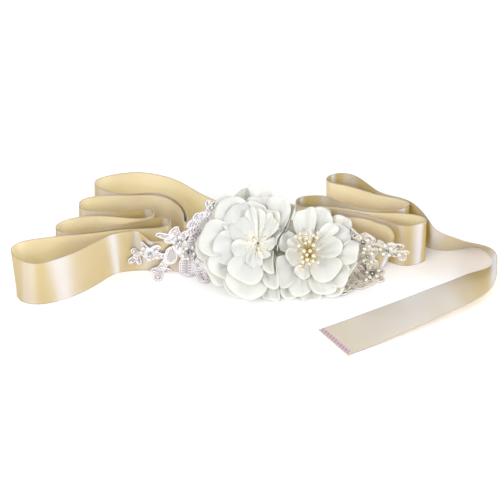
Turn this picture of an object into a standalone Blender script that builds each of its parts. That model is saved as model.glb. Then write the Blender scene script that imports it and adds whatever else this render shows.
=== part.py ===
"""Bridal sash: one satin ribbon stood on edge in loops, with two fabric flowers and corded lace.

The ribbon is a single strip 38 mm wide. It runs from its hidden left end, through four loops,
along the waist band that carries the trim, through the right loops and out to the flat tail.
Tables are in millimetres and degrees; the model is in metres, +Z up, and rests on z = 0.
"""

import math

import bmesh
import bpy
import numpy as np
from mathutils import Matrix, Vector

MM = 0.001

# The middle of the sash's footprint in the coordinates of the tables; the model's origin is there.
TABLE_CENTRE = Vector((2.85, -16.2, 0.0)) * MM

# Driving sizes
RIBBON_WIDTH = 38.0 * MM
CLOTH_WALL = 1.0 * MM          # thickness of ribbon, petals and lace in the solids
SEAM_GAP = 0.3 * MM            # space between pieces that meet
PETAL_TILT = 40.0              # degrees that the flowers lie back from upright facing
FLOWER_1_CENTRE = Vector((6.0, -6.0, 31.0)) * MM
FLOWER_2_CENTRE = Vector((44.0, -12.2, 25.8)) * MM
LACE_CELL = 3.1                # grid that the lace outline is cut from (mm)
LACE_STAND_OFF = CLOTH_WALL + SEAM_GAP + 0.5 * MM
STONE_DOME = 0.75              # height of a set stone's half, as a part of its radius
STONE_SINK = 0.4 * MM          # how far a stone's back lies under the middle of the lace
LACE_FLOOR_GAP = 0.15 * MM     # the lace that lies on the table is just clear of it
LACE_FOLD = 1.0 * MM           # softness of the fold where it meets the table
LACE_BAND_END = 95.0           # x where the lace leaves the band and goes straight on (mm)
LACE_END_LEAN = 0.8            # degrees of forward lean that it gains with each mm past there
LACE_END_MOST = 6.0            # the most that it gains
LACE_END_FORWARD = 0.15        # mm that it comes forward with each mm past there
STAMEN_BEAD = 2.2 * MM         # diameter of the bead on each stamen

COLLECTION = "bridal_sash"

# The ribbon's folds, one table for each stretch, in order from the hidden left end to the tail.
# Columns: x, y, lift of the lower edge over the table (mm); tilt of the ribbon from upright
# and the compass side that it tips to (degrees, 90 is away, -90 is towards the front).
RIBBON = {
    "left_loop_4_back": [
        (-16.0, 30.0, 0, 0, 90),
        (-30.0, 39.1, 0, 0, 90),
        (-37.5, 45.0, 0, 0, 90),
        (-45.0, 52.0, 0, 0, 90),
        (-56.0, 61.5, 0, 0, 90),
        (-67.6, 67.2, 0, 0, 90),
        (-82.6, 70.8, 0, 0, 90),
        (-97.6, 69.0, 0, 0, 90),
        (-107.5, 66.0, 0, 0, 90),
        (-114.5, 62.4, 0, 0, 90),
    ],
    "left_loop_4_front": [
        (-117.4, 57.8, 0, 0, 90),
        (-114.6, 52.8, 0, 0, 90),
        (-108.9, 48.6, 0, 0, 90),
        (-103.6, 46.0, 0, 0, 90),
        (-97.0, 44.6, 0, 0, 90),
        (-86.0, 44.5, 0, 0, 90),
        (-75.0, 45.3, 0, 0, 90),
        (-67.0, 44.2, 0, 0, 90),
        (-60.6, 41.0, 0, 0, 90),
        (-54.0, 34.4, 0, 0, 90),
        (-49.2, 26.0, 0, 0, 90),
        (-47.2, 17.0, 0, 0, 90),
        (-47.0, 10.0, 0, 0, 90),
    ],
    "left_loop_3_back": [
        (-48.2, 8.2, 0, 0, 90),
        (-49.4, 10.0, 0, 0, 90),
        (-49.6, 17.0, 0, 0, 90),
        (-51.4, 25.0, 0, 0, 90),
        (-55.6, 32.4, 0, 0, 90),
        (-61.6, 38.6, 0, 0, 90),
        (-67.6, 41.8, 0, 0, 90),
        (-75.0, 42.9, 0, 0, 90),
        (-90.0, 42.2, 0, 0, 90),
        (-105.0, 42.4, 0, 0, 90),
        (-116.0, 41.4, 0, 0, 90),
        (-123.5, 38.8, 0, 0, 90),
        (-127.6, 35.0, 0, 0, 90),
    ],
    "left_loop_3_front": [
        (-128.6, 30.4, 0, 0, 90),
        (-126.4, 26.4, 0, 0, 90),
        (-120.5, 24.0, 0, 0, 90),
        (-112.0, 23.2, 0, 0, 90),
        (-94.0, 23.4, 0, 0, 90),
        (-83.0, 25.6, 0, 0, 90),
        (-77.0, 26.2, 0, 0, 90),
        (-73.2, 24.8, 0, 0, 90),
    ],
    "left_loop_2_back": [
        (-71.6, 21.2, 0, 0, 90),
        (-73.0, 17.6, 0, 0, 90),
        (-76.6, 15.0, 0, 0, 90),
        (-82.0, 13.9, 0, 0, 90),
        (-90.0, 14.2, 0, 0, 90),
        (-101.4, 15.8, 0, 0, 90),
        (-112.7, 17.2, 0, 0, 90),
        (-121.0, 17.0, 0, 0, 90),
        (-129.0, 15.8, 0, 0, 90),
        (-136.0, 13.2, 0, 0, 90),
        (-142.0, 9.4, 0, 0, 90),
    ],
    "left_loop_2_front": [
        (-145.8, 3.6, 0, 0, 90),
        (-144.0, -0.6, 0, 0, 90),
        (-138.6, -2.7, 0, 0, 90),
        (-131.0, -3.2, 0, 0, 90),
        (-122.0, -2.4, 0, 0, 90),
        (-114.0, 0.0, 0, 0, 90),
        (-105.0, 3.4, 0, 0, 90),
        (-90.0, 8.6, 0, 0, 90),
        (-79.0, 11.4, 0, 0, 90),
        (-70.0, 14.2, 0, 0, 90),
        (-64.6, 15.6, 0, 0, 90),
        (-60.4, 14.0, 0, 0, 90),
    ],
    "left_loop_1_back": [
        (-58.6, 10.0, 0, 0, 90),
        (-60.2, 6.0, 0, 0, 90),
        (-64.6, 3.8, 0, 0, 90),
        (-74.0, 2.2, 0, 0, 90),
        (-84.0, 1.4, 0, 0, 90),
        (-95.0, 0.4, 0, 0, 90),
        (-105.0, -1.4, 0, 0, 90),
        (-114.0, -3.2, 0, 0, 90),
        (-128.0, -5.2, 0, 0, 90),
        (-143.0, -7.4, 0, 0, 90),
        (-156.0, -9.8, 0, 0, 90),
        (-165.2, -13.6, 0, 3, 135),
        (-171.6, -19.4, 0, 7, 135),
    ],
    "left_loop_1_front": [
        (-174.6, -28.0, 0, 9, 140),
        (-173.0, -35.0, 0, 6, 130),
        (-167.5, -40.0, 0, 2, 110),
        (-158.0, -41.6, 0, 2, 90),
        (-149.0, -40.0, 0, 4, 90),
        (-139.0, -35.8, 0, 6, 90),
        (-129.0, -29.6, 0, 7, 90),
        (-120.0, -22.4, 0, 6.5, 90),
        (-112.0, -14.6, 0, 5, 90),
        (-105.0, -7.8, 0, 2.5, 90),
        (-98.0, -3.0, 0, 0, 90),
        (-91.0, -1.2, 0, 0, 90),
        (-84.0, -0.4, 0, 0, 90),
    ],
    "waist_band": [
        (-81.5, -0.3, 0, 3, -90),
        (-75.5, -0.2, 0.1, 18, -90),
        (-70.0, -0.2, 0.1, 18, -90),
        (-62.0, -0.6, 0.1, 15, -90),
        (-50.0, -2.6, 0, 0, -90),
        (-38.0, -6.6, 0.1, 20, 90),
        (-24.0, -11.4, 0.1, 34, 90),
        (-6.0, -14.0, 0.1, 38.8, 90),
        (20.0, -14.4, 0.1, 38.8, 90),
        (44.0, -14.2, 0.1, 38, 90),
        (58.0, -11.6, 0.1, 35, 90),
        (70.0, -7.2, 0.1, 24, 90),
        (82.0, -2.4, 0.1, 2, -90),
        (93.0, -0.2, 0.1, 17, -90),
    ],
    "right_loop_4": [
        (98.2, 1.2, 0.8, 22, -86),
        (101.8, 3.0, 3.2, 27, -80),
        (104.0, 5.0, 6.4, 32, -76),
        (104.8, 7.0, 8.6, 29, -74),
        (103.4, 9.0, 6.6, 19, -80),
        (100.2, 9.4, 3.0, 9, -84),
        (96.0, 9.6, 0.6, 3, -90),
        (90.0, 12.0, 0.1, 0, -90),
        (82.6, 14.4, 0, 0, -90),
        (73.0, 15.9, 0, 0, -90),
        (64.0, 16.6, 0, 0, -90),
        (55.0, 17.2, 0, 0, -90),
        (50.6, 18.8, 0, 0, -90),
    ],
    "right_loop_3_front": [
        (48.6, 22.0, 0, 0, -90),
        (50.6, 25.2, 0, 0, -90),
        (56.3, 26.2, 0, 0, -90),
        (67.6, 24.6, 0, 0, -90),
        (76.0, 22.4, 0, 0, -90),
        (84.0, 19.7, 0, 0, -90),
        (92.0, 16.4, 0, 0, -90),
        (100.0, 12.7, 0, 0, -90),
        (107.0, 8.6, 0, 0, -90),
        (113.0, 5.8, 0, 0, -90),
        (120.0, 4.4, 0, 0, -90),
        (126.5, 5.4, 0, 0, -90),
        (130.6, 8.4, 0, 1, 0),
    ],
    "right_loop_3_back": [
        (132.2, 12.2, 0, 2, 0),
        (130.2, 15.4, 0, 1, 0),
        (124.0, 18.4, 0, 0, 0),
        (113.0, 20.3, 0, 0, 0),
        (98.0, 21.0, 0, 0, 0),
        (84.0, 23.0, 0, 0, 0),
        (75.0, 25.2, 0, 0, 0),
        (67.0, 27.0, 0, 0, 0),
        (57.0, 28.6, 0, 0, 0),
        (48.0, 28.4, 0, 0, 0),
        (40.6, 28.0, 0, 0, 0),
        (36.0, 29.6, 0, 0, 0),
    ],
    "right_loop_2_front": [
        (33.8, 34.4, 0, 0, 0),
        (36.0, 39.2, 0, 0, 0),
        (41.5, 41.7, 0, 0, 0),
        (49.0, 42.3, 0, 0, 0),
        (56.5, 41.6, 0, 0, 0),
        (61.5, 38.8, 0, 0, 0),
        (67.5, 34.4, 0, 0, 0),
        (75.0, 30.2, 0, 0, 0),
        (84.0, 26.4, 0, 0, 0),
        (94.0, 24.4, 0, 0, 0),
        (105.0, 24.0, 0, 0, 0),
        (113.0, 25.8, 0, 0, 0),
        (118.2, 28.6, 0, 0, 0),
    ],
    "right_loop_1_front": [
        (120.2, 31.6, 0, 0, 0),
        (118.2, 34.8, 0, 0, 0),
        (112.5, 37.4, 0, 0, 0),
        (105.0, 40.2, 0, 0, 0),
        (97.6, 42.6, 0, 0, 0),
        (90.0, 45.8, 0, 0, 0),
        (82.6, 49.5, 0, 0, 0),
        (75.0, 53.1, 0, 0, 0),
        (67.0, 56.0, 0, 0, 0),
        (60.0, 58.4, 0, 0, 0),
    ],
    "right_loop_1_back": [
        (56.6, 62.0, 0, 0, 0),
        (58.6, 66.0, 0, 0, 0),
        (63.0, 68.6, 0, 0, 0),
        (69.0, 69.6, 0, 0, 0),
        (75.0, 68.8, 0, 0, 0),
        (80.0, 66.0, 0, 0, 0),
        (85.0, 60.8, 0, 0, 0),
        (90.0, 54.4, 0, 0, 0),
        (96.0, 47.4, 0, 0, 0),
        (104.0, 42.8, 0, 0, 0),
        (113.0, 39.6, 0, 0, 0),
        (119.6, 37.0, 0, 3, -70),
    ],
    "tail_rise": [
        (125.0, 32.8, 0, 9, -72),
        (129.5, 29.4, 0, 19, -74),
        (133.8, 27.2, 0.1, 30.0, -79.5),
        (138.4, 24.8, 0.1, 32.5, -79),
        (142.7, 23.6, 0, 34.2, -81.5),
        (150.2, 23.8, 0, 37.4, -84.5),
        (157.7, 25.6, 0, 43, -85),
        (165.2, 28.0, 0, 48, -84),
        (171.2, 27.4, 0, 50, -82.5),
        (176.5, 23.2, 0, 50, -81),
        (180.2, 17.1, 0, 51, -81.5),
        (182.4, 9.8, 0, 53.5, -85.5),
        (180.6, 4.2, 0, 58.5, -83),
        (175.0, 0.2, 0, 66, -76),
    ],
    "tail": [
        (165.2, -4.4, 0, 75, -69.8),
        (150.2, -13.6, 0, 81, -68.8),
        (135.0, -23.0, 0, 81.5, -67.8),
        (113.0, -36.6, 0, 82.5, -63),
        (94.0, -48.0, 0, 83, -60.5),
        (84.0, -54.0, 0, 87, -57.5),
        (78.0, -57.4, 0, 90, -55),
        (64.0, -65.4, 0, 90, -54.5),
        (51.1, -72.8, 0, 90, -54.5),
    ],
}

# Stretches that need closer sections than the rest, because they twist under the lace.
FINER = {"waist_band": {"most_turn": 7.0, "longest": 4.0}}

# Petal layers, back to front. Each layer is cut in one piece. A layer has the height of its middle
# off the flower's centre and its rise at BOWL_RADIUS from the middle (mm), then a row for each petal.
# Columns: direction on the flower's face (degrees, 90 is up), reach from the middle to the tip,
# extra lift of the tip and cupping of the side edges (mm).
BOWL_RADIUS = 40.0
FLOWER_1_LAYERS = {
    "flower_1_back_petals": (-10.7, 7.4, [
        (86, 46, 1.5, 1.5), (137, 42, 3.0, 1.5), (205, 43, 0, 2), (276, 45, 0, 1), (8, 27, 0, 0)]),
    "flower_1_outer_petals": (-8.2, 12.5, [
        (50, 40, 1, 2), (110, 42, 0, 2), (178, 46, 0, 2), (252, 45, 0, 2), (321, 27, 0.5, 0)]),
    "flower_1_inner_petals": (-5.8, 17.0, [
        (24, 19, 0, 0), (90, 32, 0, 2), (155, 27, 0, 2), (208, 28, 0, 2), (264, 33, 0, 2),
        (325, 19, 0, 0)]),
    "flower_1_middle_petals": (-3.4, 24.0, [
        (10, 13, 0, 1), (64, 19, 0, 1), (104, 20, 0, 1), (150, 13, 0, 1), (200, 12, 0, 1),
        (252, 14, 0, 1), (308, 13, 0, 1)]),
}
FLOWER_2_LAYERS = {
    "flower_2_back_petals": (-10.6, 8.0, [
        (84, 36, 1.0, 1.5), (40, 34, 3.6, 1.0), (342, 36, 0, 2), (302, 38, 0, 2), (254, 37, 0, 2),
        (204, 30, 0, 1), (144, 30, 0, 1)]),
    "flower_2_outer_petals": (-8.2, 12.5, [
        (102, 33, 0, 2), (48, 39, 1.6, 2), (358, 38, 0, 2), (292, 34, 0, 2), (234, 30, 0, 1),
        (172, 22, 0, 0)]),
    "flower_2_inner_petals": (-5.8, 18.0, [
        (72, 19, 0, 1), (18, 25, 0, 2), (304, 27, 0, 2), (250, 21, 0, 1), (190, 18, 0, 1),
        (132, 19, 0, 1)]),
}

# Where the flowers press on each other, the petals turn up along a plane that leans to the right.
MEETING_X = 22.0               # x of the plane at MEETING_RISE on the face and below it (mm)
MEETING_RISE = 18.0
MEETING_LEAN = 0.45            # how far it goes to the right for each mm of further rise
LAYER_PRESS = 2.2              # mm that each layer stops short of the one behind it
PRESS_SOFTNESS = 2.0           # mm over which a pressed petal turns

# The corded lace on the waist band. For each piece, its lobes and then the stones set on it (mm).
# Lobe columns: x and height up the band of its two ends, half its width.
# Stone columns: x, height up the band, diameter.
LACE_PIECES = {
    "lace_left": ([
        (-87.4, 19.5, -87.4, 19.5, 3.4), (-89.7, 11.4, -84.0, 10.1, 3.1), (-85.7, 14.7, -77.8, 20.4, 2.7),
        (-77.8, 20.4, -74.2, 26.9, 3.7), (-76.9, 28.9, -74.2, 26.9, 3.8), (-74.2, 26.9, -70.9, 33.1, 3.8),
        (-74.2, 26.9, -69.1, 20.8, 4.0), (-74.8, 17.1, -74.2, 26.9, 3.8), (-72.1, 2.1, -66.8, 7.4, 4.0),
        (-69.1, -11.4, -66.8, 7.4, 4.2), (-61.4, 1.1, -66.8, 7.4, 4.2), (-66.8, 7.4, -64.0, 17.6, 4.7),
        (-55.6, 35.0, -58.0, 48.1, 3.9), (-55.6, 35.0, -51.2, 36.0, 4.1), (-55.6, 35.0, -61.5, 41.7, 3.9),
        (-55.6, 35.0, -53.2, 26.3, 4.1), (-60.8, 42.5, -70.1, 51.8, 2.8), (-60.5, 22.9, -57.6, 25.2, 7.6),
        (-69.1, 20.8, -61.9, 22.2, 3.8), (-47.0, 20.5, -47.0, 20.5, 7.8), (-53.2, 26.3, -47.0, 19.6, 5.2),
        (-47.3, 10.7, -47.0, 2.5, 6.0), (-39.2, 15.5, -34.1, -2.9, 4.5), (-44.3, 29.3, -47.0, 19.6, 4.8),
        (-44.4, 32.7, -40.8, 44.6, 4.8), (-40.9, 49.4, -40.8, 42.9, 4.0), (-46.9, 47.1, -41.5, 38.3, 4.1),
        (-34.6, 49.8, -39.9, 39.5, 3.8), (-32.4, 55.9, -35.4, 48.3, 3.0), (-27.0, 57.0, -32.4, 55.1, 3.0)], [
        (-74.2, 26.9, 4.6), (-55.6, 35.0, 4.6), (-47.0, 20.5, 4.6), (-87.4, 19.5, 3.2), (-89.7, 11.4, 3.2),
        (-69.1, -11.4, 3.4), (-61.4, 1.1, 3.2), (-72.1, 2.1, 3.2), (-58.0, 48.1, 3.2), (-40.9, 49.4, 3.2),
        (-34.1, -2.9, 3.2)]),
    "lace_right": ([
        (77.7, 36.5, 82.0, 35.2, 3.4), (79.8, 30.8, 85.8, 33.9, 4.1), (85.8, 33.9, 90.4, 41.4, 4.5),
        (85.8, 33.9, 88.4, 18.9, 5.4), (83.3, 25.1, 87.8, 25.4, 5.2), (88.4, 18.9, 91.4, 27.4, 4.6),
        (80.8, 17.4, 88.4, 18.9, 3.9), (92.2, 32.9, 102.3, 37.8, 4.4), (99.4, 41.9, 102.3, 36.1, 4.0),
        (102.3, 36.1, 106.2, 45.3, 4.0), (102.3, 36.1, 108.3, 31.0, 3.6), (106.1, 43.6, 112.2, 44.8, 3.6),
        (111.3, 34.9, 116.6, 35.9, 3.0), (114.3, 35.5, 114.2, 25.6, 3.2), (108.3, 34.3, 112.1, 35.0, 3.0),
        (82.9, 16.0, 76.4, 7.1, 3.6), (76.4, 7.1, 72.3, 0.3, 3.4), (72.3, 0.3, 75.3, -10.4, 3.4),
        (75.3, -10.4, 83.0, -16.8, 4.2), (83.0, -16.8, 89.9, -13.2, 4.2), (89.9, -13.2, 91.3, -4.9, 4.4),
        (82.9, 16.0, 91.7, 12.5, 4.0), (91.7, 12.5, 91.3, -4.9, 4.4), (91.3, -4.9, 96.5, -10.5, 4.0),
        (96.5, -1.9, 91.3, -4.9, 3.8), (80.9, 5.1, 85.3, -2.6, 3.8), (85.3, -2.6, 91.3, -4.9, 4.4),
        (70.3, 4.6, 70.8, -14.8, 2.2), (76.4, 7.1, 70.3, 4.6, 2.3), (65.6, -18.0, 70.8, -14.8, 3.8),
        (70.8, -14.8, 75.3, -17.7, 3.8), (70.1, -20.0, 70.8, -14.8, 3.6)], [
        (79.2, 35.8, 4.4), (85.8, 33.9, 4.6), (88.4, 18.9, 4.6), (102.3, 36.1, 4.4), (111.4, 44.7, 4.0),
        (109.0, 32.8, 3.6), (91.3, -4.9, 4.6), (96.5, -10.5, 3.2), (70.8, -19.7, 3.2), (115.0, 32.3, 3.4)]),
}

# Stamens of the second flower, round a small dome on its innermost layer.
# Columns: direction on the flower's face (degrees), reach of the bead from the middle and its
# height over the flower's centre (mm).
STAMENS = [
    (78, 13.5, 8.0), (96, 8.5, 10.5), (118, 12.0, 7.5), (150, 7.5, 9.5), (185, 8.5, 8.5),
    (225, 8.0, 10.0), (250, 12.5, 8.0), (268, 8.0, 11.0), (285, 13.5, 7.5), (318, 8.0, 9.5),
    (20, 7.5, 10.0), (52, 9.5, 9.0)]
STAMEN_ROOT = (-3.6, 3.2)      # height of the dome's base over the flower's centre, and its radius (mm)
STAMEN_STALK = 1.0 * MM        # diameter

PETAL = ("ivory_petal", (0.90, 0.87, 0.78, 1.0), 0.75)
SATIN = ("champagne_satin", (0.84, 0.72, 0.45, 1.0), 0.35)
LACE = ("silver_white_lace", (0.80, 0.78, 0.76, 1.0), 0.55)


def material(finish):
    """Return the Principled material of a finish, made once."""
    name, colour, roughness = finish
    found = bpy.data.materials.get(name)
    if found:
        return found
    made = bpy.data.materials.new(name)
    made.use_nodes = True
    shader = made.node_tree.nodes["Principled BSDF"]
    shader.inputs["Base Color"].default_value = colour
    shader.inputs["Roughness"].default_value = roughness
    made.diffuse_color = colour
    return made


def new_object(name, mesh, finish, group):
    """Link a mesh as a named object with its own material, moved to the model's origin."""
    mesh.transform(Matrix.Translation(-TABLE_CENTRE))
    made = bpy.data.objects.new(name, mesh)
    group.objects.link(made)
    mesh.materials.append(material(finish))
    return made


def grid_mesh(name, columns, rows, place):
    """A sheet of columns x rows quads; place(u, v) gives the point for u and v from 0 to 1."""
    sheet = bmesh.new()
    bmesh.ops.create_grid(sheet, x_segments=columns, y_segments=rows, size=0.5)
    for vertex in sheet.verts:
        vertex.co = place(vertex.co.x + 0.5, vertex.co.y + 0.5)
    mesh = bpy.data.meshes.new(name)
    sheet.to_mesh(mesh)
    sheet.free()
    return mesh


def thicken(sheet, wall=CLOTH_WALL):
    """Give an open sheet its wall, half on each side."""
    solid = sheet.modifiers.new("wall", "SOLIDIFY")
    solid.thickness = wall
    solid.offset = 0.0
    solid.use_even_offset = False
    return solid


# --- the ribbon ---------------------------------------------------------------------------

class RibbonPath:
    """The ribbon's lower edge and lean as smooth functions of the distance along the table rows."""

    def __init__(self, tables):
        rows = [row for table in tables.values() for row in table]
        x, y, lift, tilt, side = (np.array(column, dtype=float) for column in zip(*rows))
        turn = np.radians(side)
        self.values = np.column_stack([x, y, lift, tilt * np.cos(turn), tilt * np.sin(turn)])
        steps = np.hypot(np.diff(x), np.diff(y))
        self.knots = np.concatenate([[0.0], np.cumsum(steps)])
        self.slopes = np.gradient(self.values, self.knots, axis=0)
        first = np.cumsum([0] + [len(table) for table in tables.values()])
        marks = list(self.knots[first[:-1]]) + [self.knots[-1]]
        self.spans = {name: (marks[i], marks[i + 1]) for i, name in enumerate(tables)}

    def at(self, distance):
        """x, y, lift and the two parts of the lean at a distance, by a smooth curve through the rows."""
        i = int(np.clip(np.searchsorted(self.knots, distance) - 1, 0, len(self.knots) - 2))
        span = self.knots[i + 1] - self.knots[i]
        t = (distance - self.knots[i]) / span
        ahead, level = t * t * (3 - 2 * t), t * (1 - t)
        curve = self.values[i] * (1 - ahead) + self.values[i + 1] * ahead
        return curve + span * level * ((1 - t) * self.slopes[i] - t * self.slopes[i + 1])

    def section(self, distance):
        """The lower edge point and the unit direction across the ribbon, in metres."""
        x, y, lift, lean_x, lean_y = self.at(distance)
        tilt = math.radians(min(90.0, math.hypot(lean_x, lean_y)))
        side = math.atan2(lean_y, lean_x)
        across = Vector((math.sin(tilt) * math.cos(side), math.sin(tilt) * math.sin(side), math.cos(tilt)))
        underside = 0.5 * CLOTH_WALL * math.sin(tilt)
        return Vector((x * MM, y * MM, lift * MM + underside)), across

    def point(self, distance, height):
        """The point at a distance and a part, 0 to 1, of the way up the ribbon."""
        edge, across = self.section(distance)
        return edge + across * (height * RIBBON_WIDTH)

    def stations(self, start, end, most_turn=14.0, longest=9.0):
        """Distances where sections go: closer together where the ribbon turns or tips."""
        found = [start]
        turned = 0.0
        here = start
        step = 0.25
        heading = None
        while here + step < end:
            ahead = self.at(here + step) - self.at(here)
            new_heading = math.degrees(math.atan2(ahead[1], ahead[0]))
            if heading is not None:
                turned += abs((new_heading - heading + 180) % 360 - 180) + math.hypot(ahead[3], ahead[4])
            heading = new_heading
            here += step
            if turned > most_turn or here - found[-1] > longest:
                found.append(here)
                turned = 0.0
        if end - found[-1] < 0.8 and len(found) > 1:
            found[-1] = end
        else:
            found.append(end)
        return found


def seam_trim(path, seam):
    """Distance to leave on each side of a seam so that the walls stay a seam gap apart there."""
    trim = 0.5 * SEAM_GAP / MM
    reach = 1.5
    for height in (0.0, 0.5, 1.0):
        while True:
            stops = [seam - trim - reach, seam - trim, seam + trim, seam + trim + reach]
            before, start, end, after = [path.point(stop, height) for stop in stops]
            skew = sum(math.sin(min(end_line.angle(end - start), math.pi / 2))
                       for end_line in (start - before, after - end))
            if (end - start).length >= 1.1 * SEAM_GAP + 0.5 * CLOTH_WALL * skew:
                break
            trim += 0.05
    return trim


def make_ribbon(path, group):
    """One wall for each stretch, parted from the next by a seam gap."""
    names = list(path.spans)
    for name, (start, end) in path.spans.items():
        start += seam_trim(path, start) if name != names[0] else 0.0
        end -= seam_trim(path, end) if name != names[-1] else 0.0
        stops = path.stations(start, end, **FINER.get(name, {}))

        def place(u, v):
            return path.point(stops[round(u * (len(stops) - 1))], v)

        wall = new_object(name, grid_mesh(name, len(stops) - 1, 2, place), SATIN, group)
        thicken(wall)


# --- the flowers --------------------------------------------------------------------------

def flower_axes():
    """Right, up and outward directions of a flower's face, which lies back from upright."""
    tilt = math.radians(PETAL_TILT)
    up = Vector((0, math.cos(tilt), math.sin(tilt)))
    out = Vector((0, -math.sin(tilt), math.cos(tilt)))
    return Vector((1, 0, 0)), up, out


def soft_limit(value, limit, softness):
    """Keep value below limit, turning smoothly."""
    over = (value - limit) / softness
    return value - softness * (over if over > 30 else math.log1p(math.exp(over)))


def petal_sectors(petals):
    """Pair each petal with the directions where its notches lie, half way to its neighbours."""
    order = sorted(petals)
    sectors = []
    for i, petal in enumerate(order):
        before = order[i - 1][0] - (360 if i == 0 else 0)
        after = order[(i + 1) % len(order)][0] + (360 if i == len(order) - 1 else 0)
        sectors.append((petal, (petal[0] + before) / 2, (petal[0] + after) / 2))
    return sectors


def make_petal_layer(name, centre, layer, side, nest, group):
    """One cut layer of petals: a bowl notched between the petals, which cup and ripple."""
    right, up, out = flower_axes()
    base, bowl, petals = layer
    sectors = petal_sectors(petals)
    columns_each, rings, notch = 9, 5, 0.42
    ripple, ripples = 0.6, 2.5
    free, stand = 0.9, 0.6

    def place(u, v):
        along = u * len(sectors)
        turn = int(along + 1e-6)
        order = turn % len(sectors)
        (_, reach, tip_lift, cup), low, high = sectors[order]
        t = max(-1.0, min(1.0, 2 * (along - turn) - 1))
        direction = math.radians(0.5 * (low + high) + 0.5 * (high - low) * t)
        outline = reach * (notch + (1 - notch) * (1 - abs(t) ** 3.2) ** 0.5)
        radius = outline * v
        fraction = radius / reach
        x = radius * math.cos(direction)
        rise = radius * math.sin(direction)
        above = max(0.0, rise + up.dot(centre) / MM - MEETING_RISE)
        plane = MEETING_X + MEETING_LEAN * above
        room = side * (plane - centre.x / MM) - free - LAYER_PRESS * nest
        pressed = side * soft_limit(side * x, room, PRESS_SOFTNESS)
        lift = base + bowl * (radius / BOWL_RADIUS) ** 1.25 + stand * abs(x - pressed)
        lift += (tip_lift + cup * t * t) * fraction * fraction * v
        lift += ripple * fraction ** 3 * math.sin(ripples * math.pi * t + 1.7 * order)
        point = centre + (right * pressed + up * rise + out * lift) * MM
        point.z = max(point.z, 0.75 * MM)
        return point

    mesh = grid_mesh(name, columns_each * len(sectors), rings, place)
    close = bmesh.new()
    close.from_mesh(mesh)
    bmesh.ops.remove_doubles(close, verts=close.verts, dist=0.02 * MM)
    bmesh.ops.dissolve_degenerate(close, edges=close.edges, dist=0.02 * MM)
    bmesh.ops.recalc_face_normals(close, faces=close.faces)
    close.to_mesh(mesh)
    close.free()
    thicken(new_object(name, mesh, PETAL, group))


def make_flowers(group):
    """Both flowers, layer by layer from the back."""
    for layers, centre, side in ((FLOWER_1_LAYERS, FLOWER_1_CENTRE, 1), (FLOWER_2_LAYERS, FLOWER_2_CENTRE, -1)):
        for nest, (name, layer) in enumerate(layers.items()):
            make_petal_layer(name, centre, layer, side, nest, group)


# --- the lace -----------------------------------------------------------------------------

def band_distance(path, x):
    """The distance along the ribbon where the waist band passes x (mm), found by halving."""
    low, high = path.spans["left_loop_1_front"][1] - 20.0, path.spans["waist_band"][1] + 4.0
    while high - low > 0.01:
        middle = 0.5 * (low + high)
        if path.at(middle)[0] < x:
            low = middle
        else:
            high = middle
    return low


def lace_point(path, x, height):
    """The point of the lace that is height (mm) up the band at x, and its outward direction.

    The lace lies on the front of the band, goes on straight past the band's right end, stands
    over its upper edge, and lies on the table where the height is less than 0.
    """
    past = max(0.0, x - LACE_BAND_END)
    distance = band_distance(path, x - past)
    edge, across = path.section(distance)
    part_up = max(height, 0.0) * MM / RIBBON_WIDTH
    ahead = path.point(distance + 0.5, part_up) - path.point(distance - 0.5, part_up)
    lean = math.radians(min(LACE_END_LEAN * past, LACE_END_MOST))
    across.rotate(Matrix.Rotation(lean, 3, "X"))
    front = ahead.cross(across).normalized()
    point = edge + across * (max(height, 0.0) * MM) + front * LACE_STAND_OFF
    point += Vector((past, -LACE_END_FORWARD * past, 0.0)) * MM
    if height < 0:
        point.y += height * MM
        front = Vector((0, 0, 1))
    floor = 0.5 * CLOTH_WALL + LACE_FLOOR_GAP
    point.z = 0.5 * (point.z + floor + math.hypot(point.z - floor, LACE_FOLD))
    return point, front


def lobe_value(x, height, lobes):
    """More than 0 inside any of the lobes: how far inside its edge the place is (mm)."""
    best = -1e9
    for x0, h0, x1, h1, half_width in lobes:
        run, climb = x1 - x0, h1 - h0
        length = run * run + climb * climb
        t = 0.0 if length == 0 else ((x - x0) * run + (height - h0) * climb) / length
        t = min(1.0, max(0.0, t))
        best = max(best, half_width - math.hypot(x - x0 - t * run, height - h0 - t * climb))
    return best


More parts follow.
